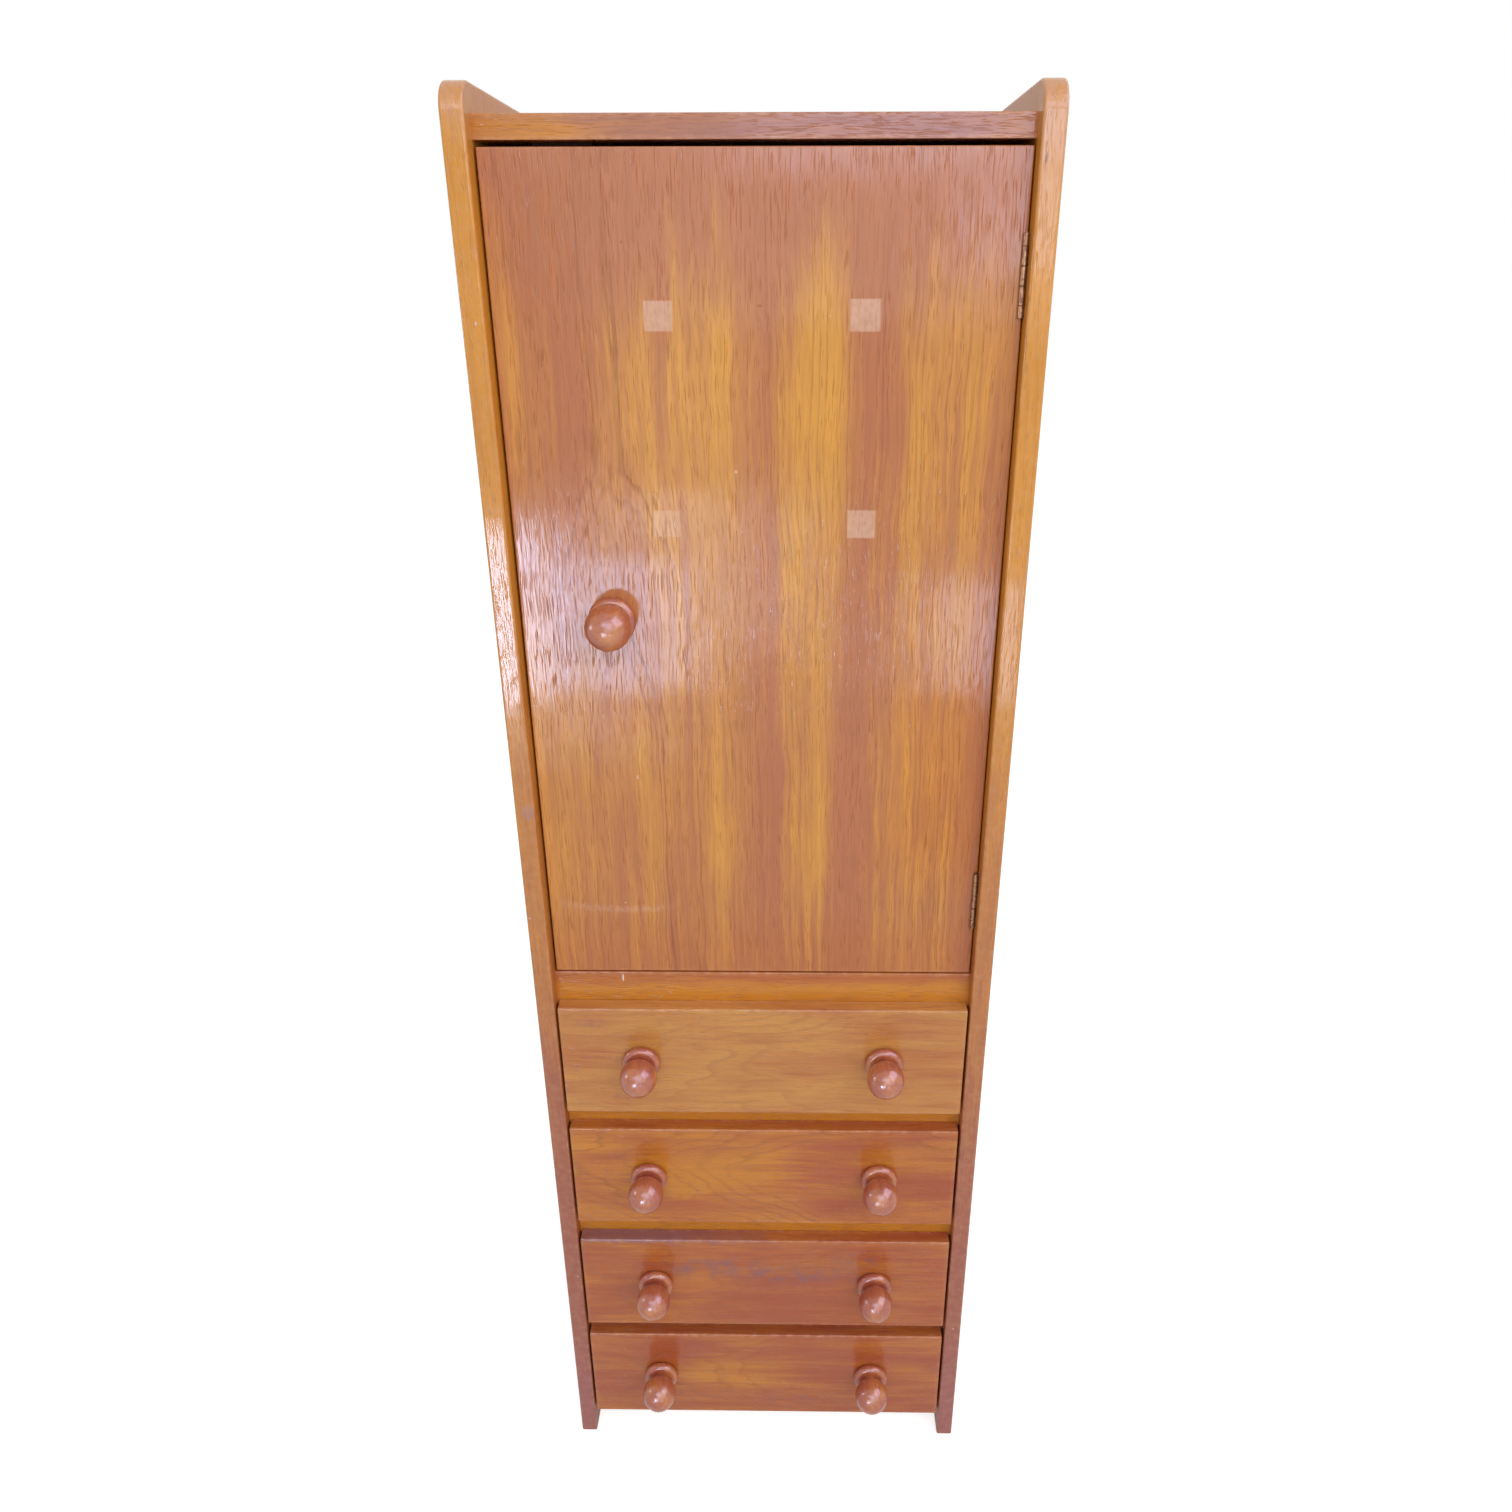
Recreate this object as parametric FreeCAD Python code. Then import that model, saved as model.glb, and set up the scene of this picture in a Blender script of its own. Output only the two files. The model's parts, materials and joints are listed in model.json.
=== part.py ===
import FreeCAD, Part
import math
import os

from FreeCAD import Vector

# Chifforobe: a hanging cupboard with one door above four drawers, between two full-height sides.
# Millimetres.  +Z is up, -Y is the front with the door and the drawers, +X is the viewer's right.
# The origin is on the floor, at the centre of the plan outline, drawer knobs included.

# ---- Driving dimensions: the case --------------------------------------------------------------
case_width = 520.0
case_height = 1652.0
case_depth = 450.0
side_thickness = 21.0
side_nose_radius = 26.0       # rounded top front corner of each side
side_edge_radius = 3.5        # eased edges of each side, front, top and foot
front_set_back = 18.0         # top board, rails and door stand this far behind the sides' front edges
housing_depth = 6.0           # depth of the grooves in the sides that hold boards and rails
upstand_height = 25.0         # how far the sides rise above the top board
top_board_thickness = 20.0
rail_thickness = 20.0
rail_edge_radius = 1.2
floor_thickness = 18.0        # cupboard floor and bottom board
back_thickness = 4.0
back_set_in = 2.0             # back panel stands this far inside the sides' rear edges
back_rebate_width = 8.0       # how far the back panel reaches into each side

# ---- Driving dimensions: the heights of the front ----------------------------------------------
foot_height = 43.0            # floor to the lowest drawer front
drawer_front_height = 151.0
drawer_gaps = [20.0, 31.0, 26.5]   # between drawer fronts, lowest gap first
mid_rail_show = 38.5          # part of the rail under the door that shows above the top drawer
drawer_overlap = 6.0          # how far a drawer front covers the rail above and below it

# ---- Driving dimensions: the door --------------------------------------------------------------
door_thickness = 20.0
door_edge_radius = 1.2
door_gap_top = 5.0
door_gap_bottom = 2.0
door_gap_left = 2.2
door_gap_right = 1.2
door_knob_from_edge = 91.0    # door's left edge to the knob's centre
door_knob_height = 420.0      # door's bottom edge to the knob's centre

# ---- Driving dimensions: the drawers -----------------------------------------------------------
drawer_front_gap = 2.8        # each end of a drawer front to the side
drawer_edge_radius = 2.0
seat_gap = 0.3                # rest clearance between a moving piece and what it rests on
box_side_gap = 4.0            # drawer box to the side
box_thickness = 12.0          # drawer sides and back
box_drop_gap = 2.0            # drawer box above the rail under it
box_lift_gap = 4.0            # drawer box below the rail over it
box_rear_gap = 14.0           # drawer box to the back panel
box_lap_depth = 8.0           # drawer sides lapped into the rear of the front
box_back_inset = 10.0         # drawer back ahead of the rear ends of the drawer sides
box_housing_depth = 4.0       # drawer back housed into the drawer sides
bottom_thickness = 4.0
bottom_groove_depth = 6.0
bottom_groove_height = 9.0    # drawer bottom above the lower edge of the box
panel_clearance = 0.2         # thin panels in their grooves

# ---- Driving dimensions: the runners -----------------------------------------------------------
runner_height = 16.0
runner_groove_depth = 6.0
runner_tip_gap = 0.5          # runner to the bottom of its groove
runner_under_gap = 0.5        # runner to the lower wall of its groove
runner_front_gap = 1.5        # runner's front end to the closed end of its groove
runner_end_radius = 3.0
runner_screw_inset = 40.0     # end screws from the ends of a runner

# ---- Driving dimensions: the knobs -------------------------------------------------------------
knob_spacing = 284.0          # two knobs on each drawer front
knob_rise = 2.5               # their centres above the middle of the front
drawer_knob_length = 52.5
drawer_ball_radius = 21.5
drawer_flange_radius = 22.5
drawer_neck_radius = 11.0
door_knob_length = 52.5
door_ball_radius = 22.8
door_flange_radius = 23.9
door_neck_radius = 14.5
flange_thickness = 11.5
knob_screw_radius = 2.0
knob_screw_head_radius = 4.2
knob_screw_head_height = 2.4
knob_screw_bite = 20.0        # thread length inside the knob

# ---- Driving dimensions: the hinges ------------------------------------------------------------
hinge_height = 70.0
hinge_from_top = 67.0         # door's top edge to the upper hinge
hinge_from_bottom = 62.0      # door's bottom edge to the lower hinge
hinge_end_knuckle = 10.9      # length of each end knuckle; the other three share the rest
barrel_radius = 2.7
pin_radius = 1.4
pin_clearance = 0.05
barrel_gap = 0.3              # barrel to the door's face
barrel_side_gap = 0.5         # barrel to the side
knuckle_gap = 0.2             # between neighbouring knuckles
leaf_thickness = 1.2
leaf_reach = 18.0             # hinge axis to the rear edge of a leaf
leaf_inlay = 0.4              # frame leaf let into the side
leaf_hole_pitch = 24.0

# ---- Driving dimensions: screws, nails, rail and catch -----------------------------------------
screw_clearance = 0.1
wood_screw_radius = 1.75
wood_screw_head_radius = 3.5
wood_screw_length = 16.0
hinge_screw_radius = 1.4
hinge_screw_head_radius = 2.7
hinge_screw_length = 13.0
nail_radius = 0.9
nail_head_radius = 2.6
nail_head_height = 0.8
nail_length = 18.0
nail_edge = 10.0              # nail line inside the edge of the back panel
nail_pitch = 190.0
clothes_rail_radius = 9.5
clothes_rail_wall = 1.2
clothes_rail_drop = 62.0      # underside of the top board to the rail's centre
socket_wall = 2.5
socket_flange_radius = 21.0
socket_flange_thickness = 3.0
socket_depth = 14.0
socket_fit = 0.15
socket_screw_circle = 16.0    # radius of the circle of screws
socket_screw_count = 3
catch_length = 34.0
catch_width = 15.0
catch_height = 15.0
catch_ear = 9.0
catch_ear_height = 4.0
catch_from_edge = 70.0        # door's left edge to the catch's centre
strike_length = 36.0
strike_height = 14.0
strike_thickness = 1.5
strike_drop = 2.0             # strike plate below the door's top edge
strike_screw_spacing = 24.0

# ---- Places worked out from the dimensions -----------------------------------------------------
half_width = case_width / 2
inner_half = half_width - side_thickness
front_y = -(case_depth - drawer_knob_length) / 2
rear_y = front_y + case_depth
face_y = front_y + front_set_back
rail_back_y = face_y + rail_thickness
back_face_y = rear_y - back_set_in - back_thickness

top_board_top = case_height - upstand_height
top_board_base = top_board_top - top_board_thickness

drawer_fronts = []            # (lower edge, upper edge), lowest drawer first
level = foot_height
for gap in drawer_gaps + [0.0]:
    drawer_fronts.append((level, level + drawer_front_height))
    level += drawer_front_height + gap
drawer_count = len(drawer_fronts)
drawer_stack_top = drawer_fronts[-1][1]
mid_rail_top = drawer_stack_top + mid_rail_show

door_left = -inner_half + door_gap_left
door_right = inner_half - door_gap_right
door_base = mid_rail_top + door_gap_bottom
door_top = top_board_base - door_gap_top
door_back_y = face_y + door_thickness
door_knob_x = door_left + door_knob_from_edge
door_knob_z = door_base + door_knob_height

front_half = inner_half - drawer_front_gap
drawer_back_of_front = face_y - seat_gap
box_half = inner_half - box_side_gap
box_rear_y = back_face_y - box_rear_gap
box_back_y = box_rear_y - box_back_inset - box_thickness
runner_thickness = box_side_gap + runner_groove_depth - runner_tip_gap

axis_x = inner_half - barrel_side_gap - barrel_radius
axis_y = face_y - barrel_gap - barrel_radius

catch_x = door_left + catch_from_edge
strike_top = door_top - strike_drop
catch_front_y = door_back_y + strike_thickness + seat_gap
rail_y = (rail_back_y + back_face_y) / 2
clothes_rail_z = top_board_base - clothes_rail_drop

LEFT = Vector(-1, 0, 0)
RIGHT = Vector(1, 0, 0)
FORWARD = Vector(0, -1, 0)
UP = Vector(0, 0, 1)
TOLERANCE = 1e-4


# ---- Helpers -----------------------------------------------------------------------------------
def block(x_range, y_range, z_range):
    """Rectangular block from its ranges along X, Y and Z."""
    x_low, x_high = sorted(x_range)
    corner = Vector(x_low, y_range[0], z_range[0])
    return Part.makeBox(x_high - x_low, y_range[1] - y_range[0], z_range[1] - z_range[0], corner)


def cut_all(shape, tools):
    """The shape with every tool taken out of it."""
    return shape.cut(Part.makeCompound(tools)) if tools else shape


def lies_at(edge, axis, value):
    """True where the whole edge lies in the plane where the axis has this value."""
    bounds = edge.BoundBox
    low = getattr(bounds, axis + "Min")
    high = getattr(bounds, axis + "Max")
    return abs(low - value) < TOLERANCE and abs(high - value) < TOLERANCE


def ease_face(shape, axis, value, radius):
    """Rounds the edges of the face that lies where the axis has this value."""
    return shape.makeFillet(radius, [edge for edge in shape.Edges if lies_at(edge, axis, value)])


def placed(shape, position, direction):
    """Turns a shape that was made along +Z towards a direction, and moves it to a position."""
    copy = shape.copy()
    copy.Placement = FreeCAD.Placement(position, FreeCAD.Rotation(UP, direction))
    return copy


def turned(points):
    """Solid of revolution about Z from (radius, height) points that start and end on the axis."""
    corners = [Vector(radius, 0, height) for radius, height in points]
    outline = Part.makePolygon(corners + [corners[0]])
    return Part.Face(outline).revolve(Vector(0, 0, 0), UP, 360)


def countersunk_screw(radius, head_radius, length, growth=0.0):
    """Flush-headed screw along +Z with its head's top at the origin; growth makes its hole."""
    head_depth = head_radius - radius
    wide = head_radius + growth
    thin = radius + growth
    return turned([(0, -growth), (wide, -growth), (wide, 0), (thin, head_depth),
                   (thin, length + growth), (0, length + growth)])


def headed_pin(radius, head_radius, head_height, length, growth=0.0):
    """Flat-headed screw or nail along +Z; its head stands on the origin's -Z side."""
    return turned([(0, -head_height), (head_radius, -head_height), (head_radius, 0),
                   (radius + growth, 0), (radius + growth, length + growth), (0, length + growth)])


def write(name, solids):
    """Writes a node's solids, one or several, as one STEP file."""
    shape = solids[0] if len(solids) == 1 else Part.makeCompound(solids)
    shape.exportStep("parts/" + name + ".step")


# ---- Fasteners: where each one goes -------------------------------------------------------------
def wood_screw(growth=0.0):
    """Steel countersunk wood screw, or its hole."""
    return countersunk_screw(wood_screw_radius, wood_screw_head_radius, wood_screw_length, growth)


def hinge_screw(growth=0.0):
    """Brass countersunk hinge screw, or its hole."""
    return countersunk_screw(hinge_screw_radius, hinge_screw_head_radius, hinge_screw_length, growth)


def nail(growth=0.0):
    """Panel nail, or its hole."""
    return headed_pin(nail_radius, nail_head_radius, nail_head_height, nail_length, growth)


def runner_level(index):
    """Lower face of the runners of a drawer: they run at the middle of the drawer box."""
    base, top = box_range(index)
    return (base + top - runner_height) / 2


def runner_range_y():
    """Front and rear end of every runner: from the rails to the rear of the drawer boxes."""
    return rail_back_y, box_rear_y


def runner_screw_places():
    """(position, direction) of each runner screw, head flush with the runner's face."""
    start, end = runner_range_y()
    places = []
    for index in range(drawer_count):
        height = runner_level(index) + runner_height / 2
        for direction in (LEFT, RIGHT):
            x = direction.x * (inner_half - runner_thickness)
            for y in (start + runner_screw_inset, (start + end) / 2, end - runner_screw_inset):
                places.append((Vector(x, y, height), direction))
    return places


def socket_screw_places():
    """(position, direction) of each screw of the two rail sockets."""
    places = []
    for direction in (LEFT, RIGHT):
        x = direction.x * (inner_half - socket_flange_thickness)
        for turn in range(socket_screw_count):
            angle = math.radians(90 + 360 * turn / socket_screw_count)
            y = rail_y + socket_screw_circle * math.cos(angle)
            z = clothes_rail_z + socket_screw_circle * math.sin(angle)
            places.append((Vector(x, y, z), direction))
    return places


def catch_screw_places():
    """(position, direction) of the two screws that hold the door catch under the top board."""
    reach = catch_length / 2 + catch_ear / 2
    height = top_board_base - catch_ear_height
    y = catch_front_y + catch_width / 2
    return [(Vector(catch_x + side * reach, y, height), UP) for side in (-1, 1)]


def case_screw_places():
    """Every steel wood screw that is driven into the case."""
    return runner_screw_places() + socket_screw_places() + catch_screw_places()


def hinge_bases():
    """Lower end of the upper and of the lower hinge."""
    upper = door_top - hinge_from_top - hinge_height
    lower = door_base + hinge_from_bottom
    return {"upper": upper, "lower": lower}


def hinge_screw_places(base, x, direction):
    """(position, direction) of the three screws of one hinge leaf."""
    middle = base + hinge_height / 2
    y = (face_y + axis_y + leaf_reach) / 2
    return [(Vector(x, y, middle + step * leaf_hole_pitch), direction) for step in (-1, 0, 1)]


def frame_leaf_screw_places():
    """Screws of both frame leaves, driven into the right side."""
    x = inner_half + leaf_inlay - leaf_thickness
    return [place for base in hinge_bases().values() for place in hinge_screw_places(base, x, RIGHT)]


def door_leaf_screw_places():
    """Screws of both door leaves, driven into the door's edge."""
    return [place for base in hinge_bases().values()
            for place in hinge_screw_places(base, door_right, LEFT)]


def even_steps(low, high, pitch):
    """Places from low to high, evenly spaced, at most one pitch apart."""
    count = max(1, math.ceil((high - low) / pitch))
    return [low + (high - low) * step / count for step in range(count + 1)]


def nail_places():
    """(position, direction) of each nail of the back panel, into sides, top, floor and bottom."""
    y = back_face_y + back_thickness
    edge = inner_half + back_rebate_width / 2
    rows = [top_board_top - top_board_thickness / 2, mid_rail_top - floor_thickness / 2,
            bottom_board_range()[0] + floor_thickness / 2]
    points = [(x, z) for z in rows for x in even_steps(-inner_half + nail_edge,
                                                       inner_half - nail_edge, nail_pitch)]
    for z_low, z_high in ((rows[2], rows[1]), (rows[1], rows[0])):
        inside = even_steps(z_low, z_high, nail_pitch)[1:-1]
        points += [(side * edge, z) for z in inside for side in (-1, 1)]
    return [(Vector(x, y, z), FORWARD) for x, z in points]


def screws(maker, places, growth=0.0):
    """One fastener, or its hole, at each place."""
    return [placed(maker(growth), position, direction) for position, direction in places]


def fastener_holes():
    """The holes that the case's screws and nails make in its boards."""
    return (screws(wood_screw, case_screw_places(), screw_clearance)
            + screws(hinge_screw, frame_leaf_screw_places(), screw_clearance)
            + screws(nail, nail_places(), screw_clearance))


# ---- The case ----------------------------------------------------------------------------------
def bottom_board_range():
    """Heights of the bottom board: its top is covered by the lowest drawer front."""
    top = foot_height + drawer_overlap
    return top - floor_thickness, top


def rail_ranges():
    """Heights of the rails between the drawers, lowest first; both edges are covered by fronts."""
    ranges = []
    for lower, upper in zip(drawer_fronts[:-1], drawer_fronts[1:]):
        ranges.append((lower[1] - drawer_overlap, upper[0] + drawer_overlap))
    return ranges


def mid_rail_range():
    """Heights of the rail under the door."""
    return drawer_stack_top - drawer_overlap, mid_rail_top


def housed(y_range, z_range):
    """A board or rail that spans the case and is housed in both sides."""
    reach = inner_half + housing_depth
    return block((-reach, reach), y_range, z_range)


def top_board():
    """Top board, full depth, with its front edges eased."""
    board = housed((face_y, back_face_y), (top_board_base, top_board_top))
    return ease_face(board, "Y", face_y, rail_edge_radius)


def cupboard_floor():
    """Floor of the hanging cupboard, behind the rail under the door."""
    return housed((rail_back_y, back_face_y), (mid_rail_top - floor_thickness, mid_rail_top))


def bottom_board():
    """Board that closes the case under the lowest drawer."""
    return housed((face_y, back_face_y), bottom_board_range())


def front_rail(z_range):
    """Rail on edge across the front, with its front edges eased."""
    rail = housed((face_y, rail_back_y), z_range)
    return ease_face(rail, "Y", face_y, rail_edge_radius)


def back_panel():
    """Thin panel in the rebates of the sides, over the rear edges of the boards."""
    reach = inner_half + back_rebate_width
    return block((-reach, reach), (back_face_y, back_face_y + back_thickness),
                 (bottom_board_range()[0], top_board_top))


def side_outline():
    """Side seen from its flat: foot, front edge, rounded top front corner, top and rear edge."""
    nose = side_nose_radius
    slope = nose * (1 - math.sqrt(0.5))
    points = [Vector(0, rear_y, 0), Vector(0, front_y, 0), Vector(0, front_y, case_height - nose),
              Vector(0, front_y + nose, case_height), Vector(0, rear_y, case_height)]
    middle = Vector(0, front_y + slope, case_height - slope)
    edges = [Part.makeLine(points[0], points[1]), Part.makeLine(points[1], points[2]),
             Part.Arc(points[2], middle, points[3]).toShape(),
             Part.makeLine(points[3], points[4]), Part.makeLine(points[4], points[0])]
    return Part.Face(Part.Wire(edges))


def side_blank(direction):
    """Side panel with every edge eased but those at the rear."""
    start = inner_half if direction == RIGHT else -half_width
    panel = side_outline().extrude(Vector(side_thickness, 0, 0))
    panel.translate(Vector(start, 0, 0))
    faces = (start, start + side_thickness)
    eased = [edge for edge in panel.Edges
             if not lies_at(edge, "Y", rear_y) and any(lies_at(edge, "X", x) for x in faces)]
    return panel.makeFillet(side_edge_radius, eased)


def frame_leaf_recesses():
    """Shallow recesses in the right side for the two frame leaves."""
    x_range = (inner_half, inner_half + leaf_inlay)
    y_range = (axis_y, axis_y + leaf_reach)
    return [block(x_range, y_range, (base, base + hinge_height)) for base in hinge_bases().values()]


def side(direction):
    """Side panel with its housings, rear rebate, hinge recesses and screw holes."""
    housings = [top_board(), cupboard_floor(), bottom_board(), front_rail(mid_rail_range())]
    housings += [front_rail(z_range) for z_range in rail_ranges()]
    tools = [piece.copy() for piece in housings]
    reach = inner_half + back_rebate_width
    tools.append(block((-reach, reach), (back_face_y, rear_y),
                       (bottom_board_range()[0], top_board_top)))
    if direction == RIGHT:
        tools += frame_leaf_recesses()
    panel = side_blank(direction)
    for tool in tools + fastener_holes():
        if tool.BoundBox.intersect(panel.BoundBox):
            panel = panel.cut(tool)
    return panel


def write_case():
    """Sides, boards, rails, back panel and their nails."""
    holes = fastener_holes()
    write("side_left", [side(LEFT)])
    write("side_right", [side(RIGHT)])
    write("top_board", [drilled(top_board(), holes)])
    write("cupboard_floor", [drilled(cupboard_floor(), holes)])
    write("bottom_board", [drilled(bottom_board(), holes)])
    write("mid_rail", [front_rail(mid_rail_range())])
    for number, z_range in enumerate(rail_ranges()):
        write("drawer_rail_%d" % (drawer_count - 1 - number), [front_rail(z_range)])
    write("back_panel", [drilled(back_panel(), holes)])
    write("back_panel_nails", screws(nail, nail_places()))


def drilled(piece, holes):
    """The piece with those of the holes that reach it."""
    near = [hole for hole in holes if hole.BoundBox.intersect(piece.BoundBox)]
    return cut_all(piece, near)


def write_runners():
    """A pair of runners for each drawer, and every steel screw of the case."""
    holes = screws(wood_screw, runner_screw_places(), screw_clearance)
    for index in range(drawer_count):
        base = runner_level(index)
        pair = []
        for direction in (LEFT, RIGHT):
            x_range = (direction.x * (inner_half - runner_thickness), direction.x * inner_half)
            strip = block(x_range, runner_range_y(), (base, base + runner_height))
            free = [edge for edge in strip.Edges if lies_at(edge, "X", x_range[0])
                    and lies_at(edge, "Y", runner_range_y()[0])]
            strip = strip.makeFillet(runner_end_radius, free)
            pair.append(drilled(strip, holes))
        write("drawer_runners_%d" % (drawer_count - index), pair)
    write("case_screws", screws(wood_screw, case_screw_places()))


# ---- The hanging rail and the door catch -------------------------------------------------------
def rail_socket(direction):
    """Flanged cup on one side that holds the end of the clothes rail."""
    outer = clothes_rail_radius + socket_fit + socket_wall
    inner = clothes_rail_radius + socket_fit
    profile = [(0, 0), (socket_flange_radius, 0), (socket_flange_radius, socket_flange_thickness),
               (outer, socket_flange_thickness), (outer, socket_depth), (inner, socket_depth),
               (inner, socket_flange_thickness), (0, socket_flange_thickness)]
    cup = placed(turned(profile), Vector(direction.x * inner_half, rail_y, clothes_rail_z),
                 direction * -1)
    return drilled(cup, screws(wood_screw, socket_screw_places(), screw_clearance))


def clothes_rail():
    """Tube across the cupboard, from cup to cup."""
    half = inner_half - socket_flange_thickness - seat_gap
    start = Vector(-half, rail_y, clothes_rail_z)
    tube = Part.makeCylinder(clothes_rail_radius, 2 * half, start, RIGHT)
    bore = Part.makeCylinder(clothes_rail_radius - clothes_rail_wall, 2 * half, start, RIGHT)
    return tube.cut(bore)


def door_catch():
    """Magnetic catch under the top board: a block with an ear at each end."""
    y_range = (catch_front_y, catch_front_y + catch_width)
    half = catch_length / 2
    body = block((catch_x - half, catch_x + half), y_range,
                 (top_board_base - catch_height, top_board_base))
    ears = block((catch_x - half - catch_ear, catch_x + half + catch_ear), y_range,
                 (top_board_base - catch_ear_height, top_board_base))
    holes = screws(wood_screw, catch_screw_places(), screw_clearance)
    return drilled(body.fuse(ears).removeSplitter(), holes)


def write_fittings():
    """Clothes rail with its sockets, and the catch."""
    write("clothes_rail", [clothes_rail()])
    write("rail_socket_left", [rail_socket(LEFT)])
    write("rail_socket_right", [rail_socket(RIGHT)])
    write("door_catch", [door_catch()])


# ---- Knobs -------------------------------------------------------------------------------------
def knob(length, ball_radius, flange_radius, neck):
    """Turned knob along +Z: round-edged flange, narrow neck and ball."""
    edge = flange_thickness / 2
    centre = length - ball_radius
    neck_top = centre - math.sqrt(ball_radius ** 2 - neck ** 2)
    flange_rim = flange_radius - edge
    start = Vector(0, 0, 0)
    base = Vector(flange_rim, 0, 0)
    crown = Vector(flange_rim, 0, flange_thickness)
    foot = Vector(neck, 0, flange_thickness)
    collar = Vector(neck, 0, neck_top)
    widest = Vector(ball_radius, 0, centre)
    tip = Vector(0, 0, length)
    edges = [Part.makeLine(start, base),
             Part.Arc(base, Vector(flange_radius, 0, edge), crown).toShape(),
             Part.makeLine(crown, foot), Part.makeLine(foot, collar),
             Part.Arc(collar, widest, tip).toShape(), Part.makeLine(tip, start)]
    return Part.Face(Part.Wire(edges)).revolve(start, UP, 360)


def knob_screw(board_thickness, growth=0.0):
    """Screw from the inside of a front into its knob, along +Z."""
    return headed_pin(knob_screw_radius, knob_screw_head_radius, knob_screw_head_height,
                      board_thickness + knob_screw_bite, growth)


def knob_set(places, face, board_thickness, shape):
    """Knobs and their screws at (x, z) places on a front face, and the holes for the screws."""
    inside = face + board_thickness
    holes = [placed(knob_screw(board_thickness, screw_clearance), Vector(x, inside, z), FORWARD)
             for x, z in places]
    pins = [placed(knob_screw(board_thickness), Vector(x, inside, z), FORWARD) for x, z in places]
    knobs = [drilled(placed(shape, Vector(x, face, z), FORWARD), holes) for x, z in places]
    return knobs, pins, holes


# ---- The door ----------------------------------------------------------------------------------
def door_leaf_recesses():
    """Recesses in the door's right edge for the two door leaves."""
    x_range = (door_right - leaf_thickness, door_right)
    y_range = (face_y, axis_y + leaf_reach)
    return [block(x_range, y_range, (base, base + hinge_height)) for base in hinge_bases().values()]


def write_door():
    """Door, knob, strike plate and their screws."""
    slab = block((door_left, door_right), (face_y, door_back_y), (door_base, door_top))
    slab = ease_face(slab, "Y", face_y, door_edge_radius)
    knobs, pins, holes = knob_set([(door_knob_x, door_knob_z)], face_y, door_thickness,
                                  knob(door_knob_length, door_ball_radius, door_flange_radius,
                                       door_neck_radius))
    strike_z = strike_top - strike_height / 2
    face = door_back_y + strike_thickness
    places = [(Vector(catch_x + side_x * strike_screw_spacing / 2, face, strike_z), FORWARD)
              for side_x in (-1, 1)]
    strike = block((catch_x - strike_length / 2, catch_x + strike_length / 2),
                   (door_back_y, face), (strike_top - strike_height, strike_top))
    strike_holes = screws(hinge_screw, places, screw_clearance)
    leaf_holes = screws(hinge_screw, door_leaf_screw_places(), screw_clearance)
    slab = cut_all(slab, door_leaf_recesses())
    slab = drilled(slab, holes + strike_holes + leaf_holes)
    write("door", [slab])
    write("door_knob", knobs)
    write("door_knob_screw", pins)
    write("strike_plate", [drilled(strike, strike_holes)])
    write("strike_plate_screws", screws(hinge_screw, places))


# ---- The hinges --------------------------------------------------------------------------------
def knuckle_ranges(base):
    """Heights of the five knuckles of one hinge, lowest first; the end ones are shorter."""
    middle = (hinge_height - 2 * hinge_end_knuckle) / 3
    levels = [0] + [hinge_end_knuckle + step * middle for step in range(4)] + [hinge_height]
    return [(base + low, base + high) for low, high in zip(levels[:-1], levels[1:])]


def cylinder(radius, z_range):
    """Cylinder on the hinge axis."""
    return Part.makeCylinder(radius, z_range[1] - z_range[0], Vector(axis_x, axis_y, z_range[0]))


def leaf(base, x_range, own, others):
    """One hinge leaf: a plate with its knuckles, cut clear of the other leaf's knuckles."""
    z_range = (base, base + hinge_height)
    plate = block(x_range, (axis_y, axis_y + leaf_reach), z_range)
    web_x = sorted((axis_x, x_range[1]))
    web_y = (axis_y, axis_y + barrel_radius - leaf_thickness / 2)
    for low, high in own:
        knuckle = (low + knuckle_gap / 2, high - knuckle_gap / 2)
        plate = plate.fuse([cylinder(barrel_radius, knuckle), block(web_x, web_y, knuckle)])
    for low, high in others:
        plate = plate.cut(cylinder(barrel_radius + barrel_gap, (low - knuckle_gap / 2,
                                                                high + knuckle_gap / 2)))
    return plate.removeSplitter().cut(cylinder(pin_radius + pin_clearance, z_range))


def write_hinges():
    """Both butt hinges: the frame leaf has three knuckles, the door leaf two."""
    pins = []
    frame_x = (inner_half + leaf_inlay - leaf_thickness, inner_half + leaf_inlay)
    door_x = (door_right - leaf_thickness, door_right)
    frame_holes = screws(hinge_screw, frame_leaf_screw_places(), screw_clearance)
    door_holes = screws(hinge_screw, door_leaf_screw_places(), screw_clearance)
    for name, base in hinge_bases().items():
        knuckles = knuckle_ranges(base)
        frame_leaf = leaf(base, frame_x, knuckles[0::2], knuckles[1::2])
        door_leaf = leaf(base, door_x, knuckles[1::2], knuckles[0::2])
        write("hinge_%s_frame_leaf" % name, [drilled(frame_leaf, frame_holes)])
        write("hinge_%s_door_leaf" % name, [drilled(door_leaf, door_holes)])
        pins.append(cylinder(pin_radius, (base, base + hinge_height)))
    write("hinge_pins", pins)
    write("frame_hinge_screws", screws(hinge_screw, frame_leaf_screw_places()))
    write("door_hinge_screws", screws(hinge_screw, door_leaf_screw_places()))


# ---- The drawers -------------------------------------------------------------------------------
def box_range(index):
    """Heights of a drawer box, clear of the rails under and over it."""
    base, top = drawer_fronts[index]
    return base + drawer_overlap + box_drop_gap, top - drawer_overlap - box_lift_gap


def lap_y():
    """Plane where the drawer sides meet the lapped front."""
    return drawer_back_of_front - box_lap_depth


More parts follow.
